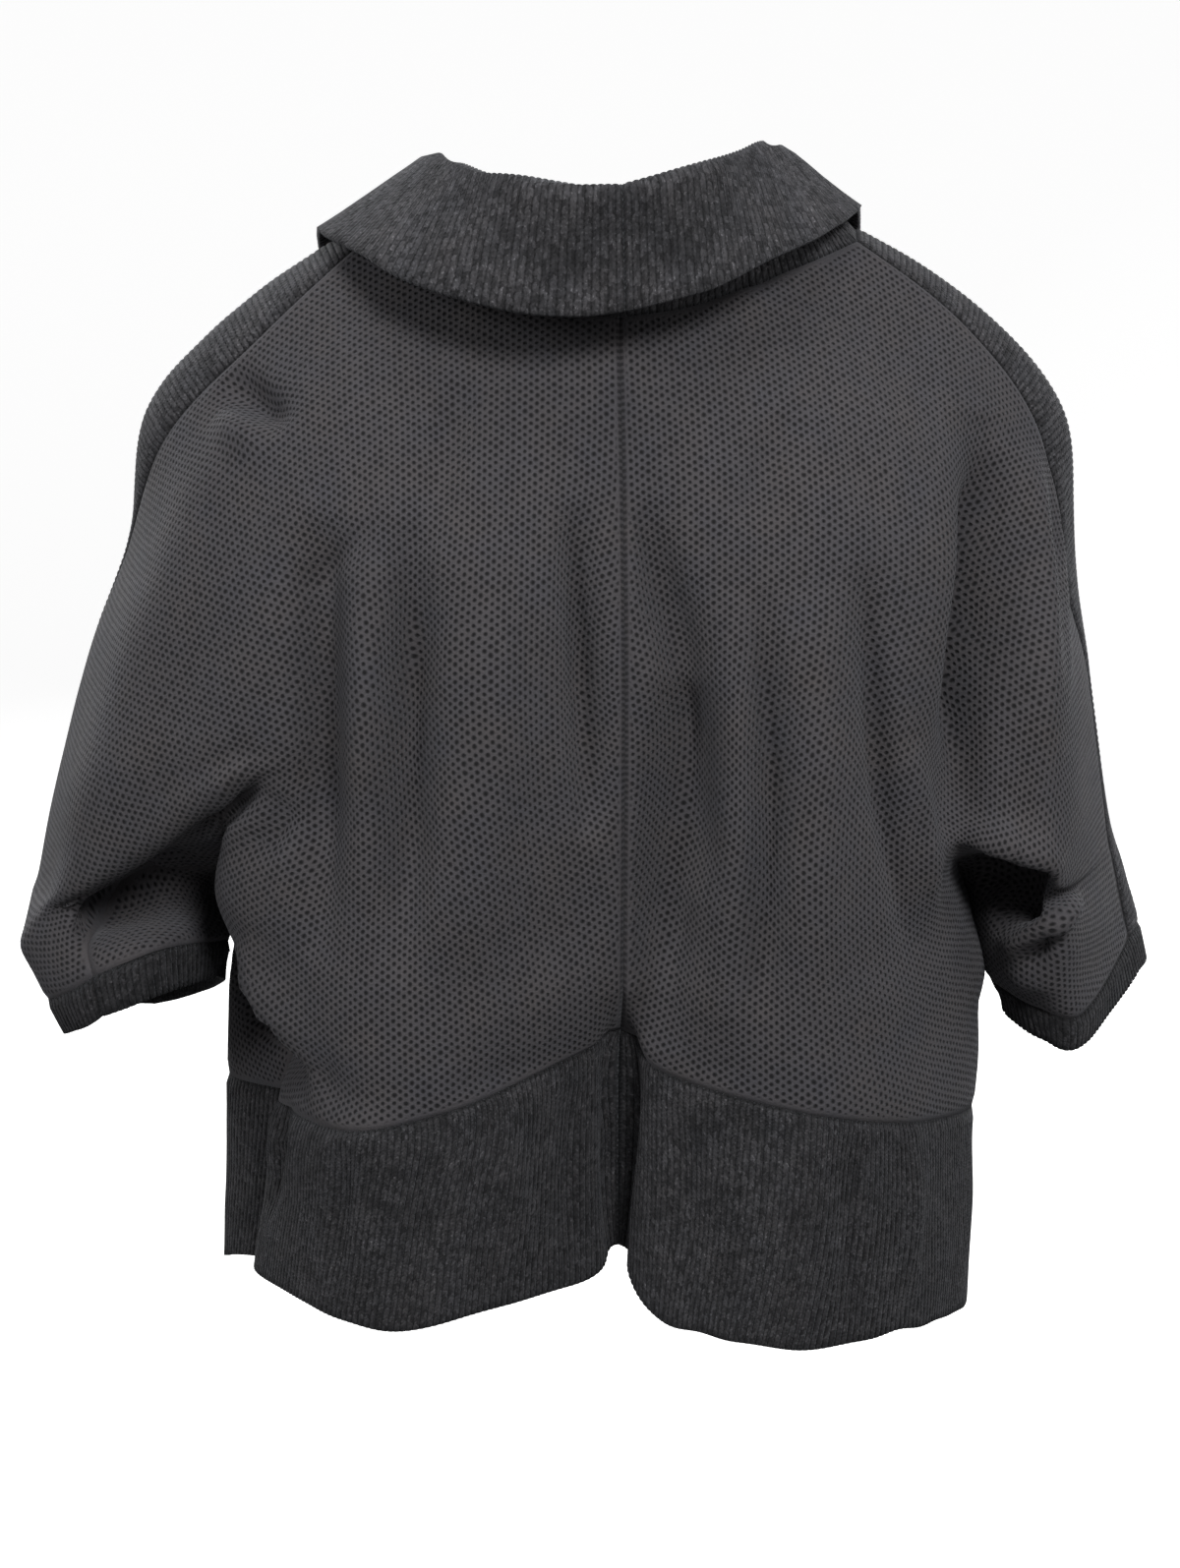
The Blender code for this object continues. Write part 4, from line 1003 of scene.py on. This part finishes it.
def mesh_panel(name, side, grids, n, share, edges, upright, seed, material):
    """A mesh knit panel made of two grids that share a column above row n:
    edges lists the grid lines that are sewn."""
    body, arm = grids
    body_index = np.arange(body.shape[0] * body.shape[1]).reshape(body.shape[:2])
    arm_index = np.zeros(arm.shape[:2], int)
    todo = np.ones(arm.shape[:2], bool)
    todo[:n + 1, share] = False
    arm_index[todo] = body_index.size + np.arange(todo.sum())
    arm_index[:n + 1, share] = body_index[:n + 1, -1 - share]
    points = np.zeros((body_index.size + int(todo.sum()), 6))
    points[arm_index] = arm
    points[body_index] = body
    points, normal = points[:, :3], unit(points[:, 3:])
    quads = np.concatenate([quads_of(body_index), quads_of(arm_index)])
    uv = lay_flat((body[..., :3], arm[..., :3]), (body_index, arm_index), n, points, quads, body_index[:, upright])
    index = {"body": body_index, "arm": arm_index}
    lines = {key: index[grid][where] for key, (grid, where) in edges.items()}
    seam = np.minimum.reduce([nearest(points, points[line]) for line in lines.values()])
    centre = nearest(points, points[lines["centre"]]) if "centre" in lines else np.full(len(points), 99.0)
    move = 0.5 * waves(points, seed, 60)
    near = np.clip(seam / 9, 0, 1)
    move *= near**2 * (3 - 2 * near)
    points = points + normal * move[:, None]
    # read the light and shade of the creases from the moved cloth
    moved = normals_of(points, quads)
    near = np.clip(seam / 4, 0, 1)[:, None]
    normal = unit(moved * near + normal * (1 - near))
    area = area_of(points, quads)
    ob = piece(name, points, normal, quads, side == "right", MESH_WALL, uv, relief=tuck(seam),
               attributes={"seam": seam, "centre": centre}, material=material)
    return ob, np.ptp(uv, axis=0) * MM, float(area) * MM * MM


# how much the loose edge of each kind wavers
WAVER = {"collar": 0.7, "cuff": 0.8, "hem": 3.2, "shoulder_band": 0.0}


def rib_panel(name, side, grid, across, kind, wall, seed, material, reverse=False, sewn=(), step=4.5, six=6):
    """A rib knit panel: ribs lie side by side along the axis across and run
    along the other. sewn lists (axis, end) of the edges that are sewn."""
    pitch, height = RIB[kind], RIB_HEIGHT[kind]
    if across == 0:
        grid = grid.transpose(1, 0, 2)          # rows run along the ribs, columns across
        reverse = not reverse
        sewn = [(1 - a, e) for a, e in sewn]
    wide, tall = lengths(grid[..., :3], 1)[-1], lengths(grid[..., :3], 0)[-1]
    ribs = max(4, round(wide / pitch))
    rows = max(3, round(tall / step))
    grid = resample6(grid, 1, np.linspace(0, 1, ribs * six + 1))
    grid = resample6(grid, 0, np.linspace(0, 1, rows + 1))
    shape = grid.shape[:2]
    index = np.arange(shape[0] * shape[1]).reshape(shape)
    quads = quads_of(index)
    if reverse:
        quads = quads[:, ::-1]
    points, normal = grid[..., :3].reshape(-1, 3), unit(grid[..., 3:].reshape(-1, 3))
    # the loose end of the ribs, uneven in length
    end = np.linspace(0, tall, rows + 1)[:, None] - tall
    loose = (np.exp(-(end / 30) ** 2) * np.ones(shape)).ravel()
    if (1, 0) in sewn and kind != "shoulder_band":
        loose *= np.clip(np.linspace(0, wide, shape[1])[None] / 14, 0, 1).repeat(shape[0], 0).ravel()
    if (1, 1) in sewn and kind != "shoulder_band":
        loose *= np.clip((wide - np.linspace(0, wide, shape[1])[None]) / 14, 0, 1).repeat(shape[0], 0).ravel()
    flow = unit(grid[-1, :, :3] - grid[-2, :, :3])
    uneven = WAVER[kind] * (waves(grid[-1, :, :3], seed + 2, 75) + 0.3 * waves(grid[-1, :, :3], seed + 5, 34))
    points = points + np.broadcast_to((flow * uneven[:, None])[None], grid[..., :3].shape).reshape(-1, 3) * loose[:, None]
    grid = np.concatenate([points.reshape(*shape, 3), grid[..., 3:]], axis=2)
    away = np.full(shape, 1e9)
    for axis, end in sewn:
        step_ = np.linalg.norm(np.diff(grid[..., :3], axis=axis), axis=2)
        run = np.concatenate([np.zeros_like(step_[:1] if axis == 0 else step_[:, :1]), np.cumsum(step_, axis=axis)], axis=axis)
        if end:
            run = (run[-1:] if axis == 0 else run[:, -1:]) - run
        away = np.minimum(away, run)
    seam = away.ravel()
    near = np.clip(seam / 9, 0, 1)
    move = 0.35 * waves(points, seed, 45) * near**2 * (3 - 2 * near)
    points = points + normal * move[:, None]
    moved = normals_of(points, quads)
    near = np.clip(seam / 4, 0, 1)[:, None]
    normal = unit(moved * near + normal * (1 - near))
    u = np.broadcast_to(np.linspace(0, ribs, ribs * six + 1)[None], shape)
    v = np.broadcast_to(np.linspace(0, tall, rows + 1)[:, None], shape)
    r = (u - np.floor(u)).ravel()
    swell = 1 + 0.2 * waves(points, seed + 1, 22)
    front = height * np.sin(math.pi * r) ** 0.75 * swell
    back = height * np.sin(math.pi * ((r + 0.5) % 1)) ** 0.75
    fade = np.clip(seam / 1.6, 0, 1)
    uv = np.stack([(u * pitch).ravel(), -v.ravel()], axis=1)
    # painted shade: the collar is darkened in the middle of the back, where it sags in
    collar_shade = np.zeros(len(points))
    if kind == "collar":
        at = v.ravel() / tall
        collar_shade = 0.48 * np.exp(-((u.ravel() * pitch - 6) / 58) ** 2) * np.exp(-((at - 0.74) / 0.24) ** 2)
    ob = piece(name, points, normal, quads, side == "right", wall, uv, relief=front * fade + tuck(seam), back_relief=back * fade,
               attributes={"seam": seam, "collar_shade": collar_shade}, material=material)
    return ob, (float(wide * MM), float(tall * MM)), None


def collar_grid(side, g):
    """Stations along the neck seam and down the front edge, each a curve from
    the seam up the stand, over the roll and down to the free edge."""
    back = np.concatenate([g["body_back"][0], g["arm_back"][0][1:]])
    share = np.concatenate([np.linspace(0, BACK["side"], BACK_BODY + 1), np.linspace(BACK["side"], 1, BACK_ARM + 1)[1:]])
    front = np.concatenate([g["arm_front"][0], g["body_front"][0][1:]])
    seam = np.concatenate([back, g["band"][0][1:], front[1:-1], g["body_front"][:, -1]])
    run = np.concatenate([[0], np.cumsum(np.linalg.norm(np.diff(seam, axis=0), axis=1))])
    first = len(seam) - len(g["body_front"])
    where = {k: np.interp(BACK[k], share, run[:len(share)]) for k in ("cb", "blade", "side", "ridge", "seam")}
    where["middle"] = run[len(back) - 1 + BAND_COLS // 2]
    where["seam_f"] = run[len(back) - 1 + BAND_COLS]
    where["neck_edge"] = run[first]
    for k, name in enumerate(UPPER[1:-1], 1):
        where[name if name != "blade" else "blade_f"] = run[first + sum(UPPER_ROWS[:k])]
    where["split"], where["band"], where["hem"] = run[first + g["n"]], run[first + g["hem"]], run[-1]
    rows = COLLAR[side]
    knots = [where[k] for k in rows]
    at = np.arange(0, run[-1], 2.2)
    at = np.concatenate([at, [run[-1]]])
    base = np.stack([np.interp(at, run, seam[:, c]) for c in range(3)], axis=1)
    roll = smooth(knots, [v[0] for v in rows.values()], at)
    free = smooth(knots, [v[1] for v in rows.values()], at)
    out = []
    for a, f, e in zip(base, roll, free):
        la, le = np.linalg.norm(a - f), np.linalg.norm(e - f)
        ua, ue = (a - f) / la, (e - f) / le
        d = -(ua + ue)
        k = min(max((float(np.dot(ua, ue)) + 0.3) / 0.9, 0), 1) * min(max((le - 6) / 12, 0), 1)
        k = k * k * (3 - 2 * k)
        stop = la / (la + le)
        flat = np.array([a + (f - a) * min(1, t / stop) + (e - f) * max(0, (t - stop) / (1 - stop)) for t in FLAT_AT])
        if k > 0:
            d /= np.linalg.norm(d)
            w = ue - ua
            w -= d * np.dot(w, d)
            w /= np.linalg.norm(w)
            loop = [f + ROLL * ((math.cos(t) - 1) * d + math.sin(t) * w) for t in map(math.radians, ROLL_AT)]
            flat = flat + (np.array([a, (a + loop[0]) / 2, *loop, (loop[-1] + e) / 2, e]) - flat) * k
        chord = np.concatenate([[0], np.cumsum(np.maximum(np.linalg.norm(np.diff(flat, axis=0), axis=1), 0.5))])
        out.append(smooth(chord, flat, np.linspace(0, chord[-1], 61)))
    out = np.array(out)
    for turn in range(14):         # the roll runs evenly from station to station
        soft = out.copy()
        soft[1:-1] = out[1:-1] * 0.5 + (out[:-2] + out[2:]) * 0.25
        share = np.clip(np.arange(out.shape[1]) / 14, 0, 1)[None, :, None]
        out = out * (1 - share) + soft * share
    return seam, run, out.transpose(1, 0, 2), at


MESH = mesh_knit("mesh_knit")
RIBBED = {kind: rib_knit("rib_knit_" + kind, pitch, *RIB_LOOK[kind]) for kind, pitch in RIB.items()}
nets = {side: net(side) for side in ("left", "right")}
close_underarm(nets["right"])
dressed(nets)
sheets = []

for side, g in nets.items():
    n, cuff, hem = g["n"], g["cuff"], g["hem"]
    seed = 10 if side == "left" else 40
    sheets.append((f"back_{side}", "mesh_knit", *mesh_panel(
        f"back_{side}_knit", side, (g["body_back"][:hem + 1], g["arm_back"][:cuff + 1]), n, 0,
        {"centre": ("body", np.s_[:, 0]), "neck": ("body", np.s_[0, :]), "neck_arm": ("arm", np.s_[0, :]),
         "band": ("arm", np.s_[:, -1]), "side": ("body", np.s_[n:, -1]), "under": ("arm", np.s_[n:, 0]),
         "hem": ("body", np.s_[-1, :]), "cuff": ("arm", np.s_[-1, :])}, 0, seed, MESH)))
    sheets.append((f"front_{side}", "mesh_knit", *mesh_panel(
        f"front_{side}_knit", side, (g["body_front"][:hem + 1], g["arm_front"][:cuff + 1]), n, -1,
        {"edge": ("body", np.s_[:, -1]), "neck": ("body", np.s_[0, :]), "neck_arm": ("arm", np.s_[0, :]),
         "band": ("arm", np.s_[:, 0]), "side": ("body", np.s_[n:, 0]), "under": ("arm", np.s_[n:, -1]),
         "hem": ("body", np.s_[-1, :]), "cuff": ("arm", np.s_[-1, :])}, -1, seed + 1, MESH)))

    ring = np.concatenate([g["arm_back"], g["band"][:, 1:], g["arm_front"][:, 1:]], axis=1)
    for k, (name, grid, across, kind, wall, reverse, sewn) in enumerate((
        ("shoulder_band", g["band"][:cuff + 1], 0, "shoulder_band", BAND_WALL, False, ((1, 0), (1, 1), (0, 0), (0, 1))),
        ("cuff", ring[cuff:], 1, "cuff", BAND_WALL, False, ((0, 0), (1, 0), (1, 1))),
        ("hem_back", g["body_back"][hem:], 1, "hem", BAND_WALL, False, ((0, 0), (1, 0), (1, 1))),
        ("hem_front", g["body_front"][hem:], 1, "hem", BAND_WALL, False, ((0, 0), (1, 0), (1, 1))),
        ("collar", g["collar"], 1, "collar", COLLAR_WALL, True, ((0, 0), (1, 0))),
    )):
        sheets.append((f"{name}_{side}", "rib_knit", *rib_panel(
            f"{name}_{side}_rib", side, grid, across, kind, wall, seed + 3 + k, RIBBED[kind], reverse, sewn)))

for node, slot, ob, cut, area in sheets:
    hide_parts(node)

# ---------------------------------------------------------------- setting
def setting():
    """A pale floor that curves up all round, and soft studio light."""
    ring = 96
    floor, reach, rise = -0.75, 3.2, 1.6
    profile = [(reach * t, floor) for t in (0.1, 0.25, 0.45, 0.7, 1.0)]
    profile += [(reach + rise * math.sin(t), floor + rise * (1 - math.cos(t))) for t in np.linspace(0.1, math.pi / 2, 12)]
    profile += [(reach + rise, floor + rise + 2.5)]
    verts = [(r * math.cos(a), r * math.sin(a), z) for r, z in profile for a in np.linspace(0, 2 * math.pi, ring, endpoint=False)]
    faces = [(i * ring + j, i * ring + (j + 1) % ring, (i + 1) * ring + (j + 1) % ring, (i + 1) * ring + j)
             for i in range(len(profile) - 1) for j in range(ring)]
    faces.append(tuple(range(ring))[::-1])
    mesh = bpy.data.meshes.new("studio_floor")
    mesh.from_pydata(verts, [], faces)
    mesh.polygons.foreach_set("use_smooth", [True] * len(mesh.polygons))
    ob = link(bpy.data.objects.new("studio_floor", mesh))
    g = Graph("studio_paper")
    g.shader.inputs["Roughness"].default_value = 0.9
    g.shader.inputs["Base Color"].default_value = (0.86, 0.86, 0.86, 1)
    g.shader.inputs["Emission Color"].default_value = (1, 1, 1, 1)
    g.shader.inputs["Emission Strength"].default_value = 0.66
    mesh.materials.append(g.material)
    ob.visible_shadow = False
    ob.visible_diffuse = False
    ob.visible_glossy = False

    world = bpy.data.worlds.new("studio")
    bpy.context.scene.world = world
    world.use_nodes = True
    back = world.node_tree.nodes["Background"]
    back.inputs[0].default_value = (1.0, 1.0, 1.0, 1)
    back.inputs[1].default_value = 0.20
    for name, at, size, power in (
        ("key", (-0.55, 2.3, 1.3), 0.8, 50.0),     # from the camera's side, a little above
        ("left", (2.3, 1.5, 0.9), 1.0, 25.0),
        ("right", (-2.5, 0.6, 0.8), 1.0, 9.0),
        ("top", (0.0, 0.6, 2.4), 1.2, 14.0),
        ("front_left", (1.5, -2.3, 0.9), 1.3, 52.0),
        ("front_right", (-1.3, -2.4, 0.5), 1.3, 34.0),
    ):
        light = bpy.data.lights.new(name, "AREA")
        light.shape, light.size, light.energy = "DISK", size, power
        lamp = link(bpy.data.objects.new(name, light))
        lamp.location = at
        lamp.rotation_euler = (AIM - lamp.location).to_track_quat("-Z", "Y").to_euler()
    bpy.context.scene.view_settings.view_transform = "Standard"


setting()
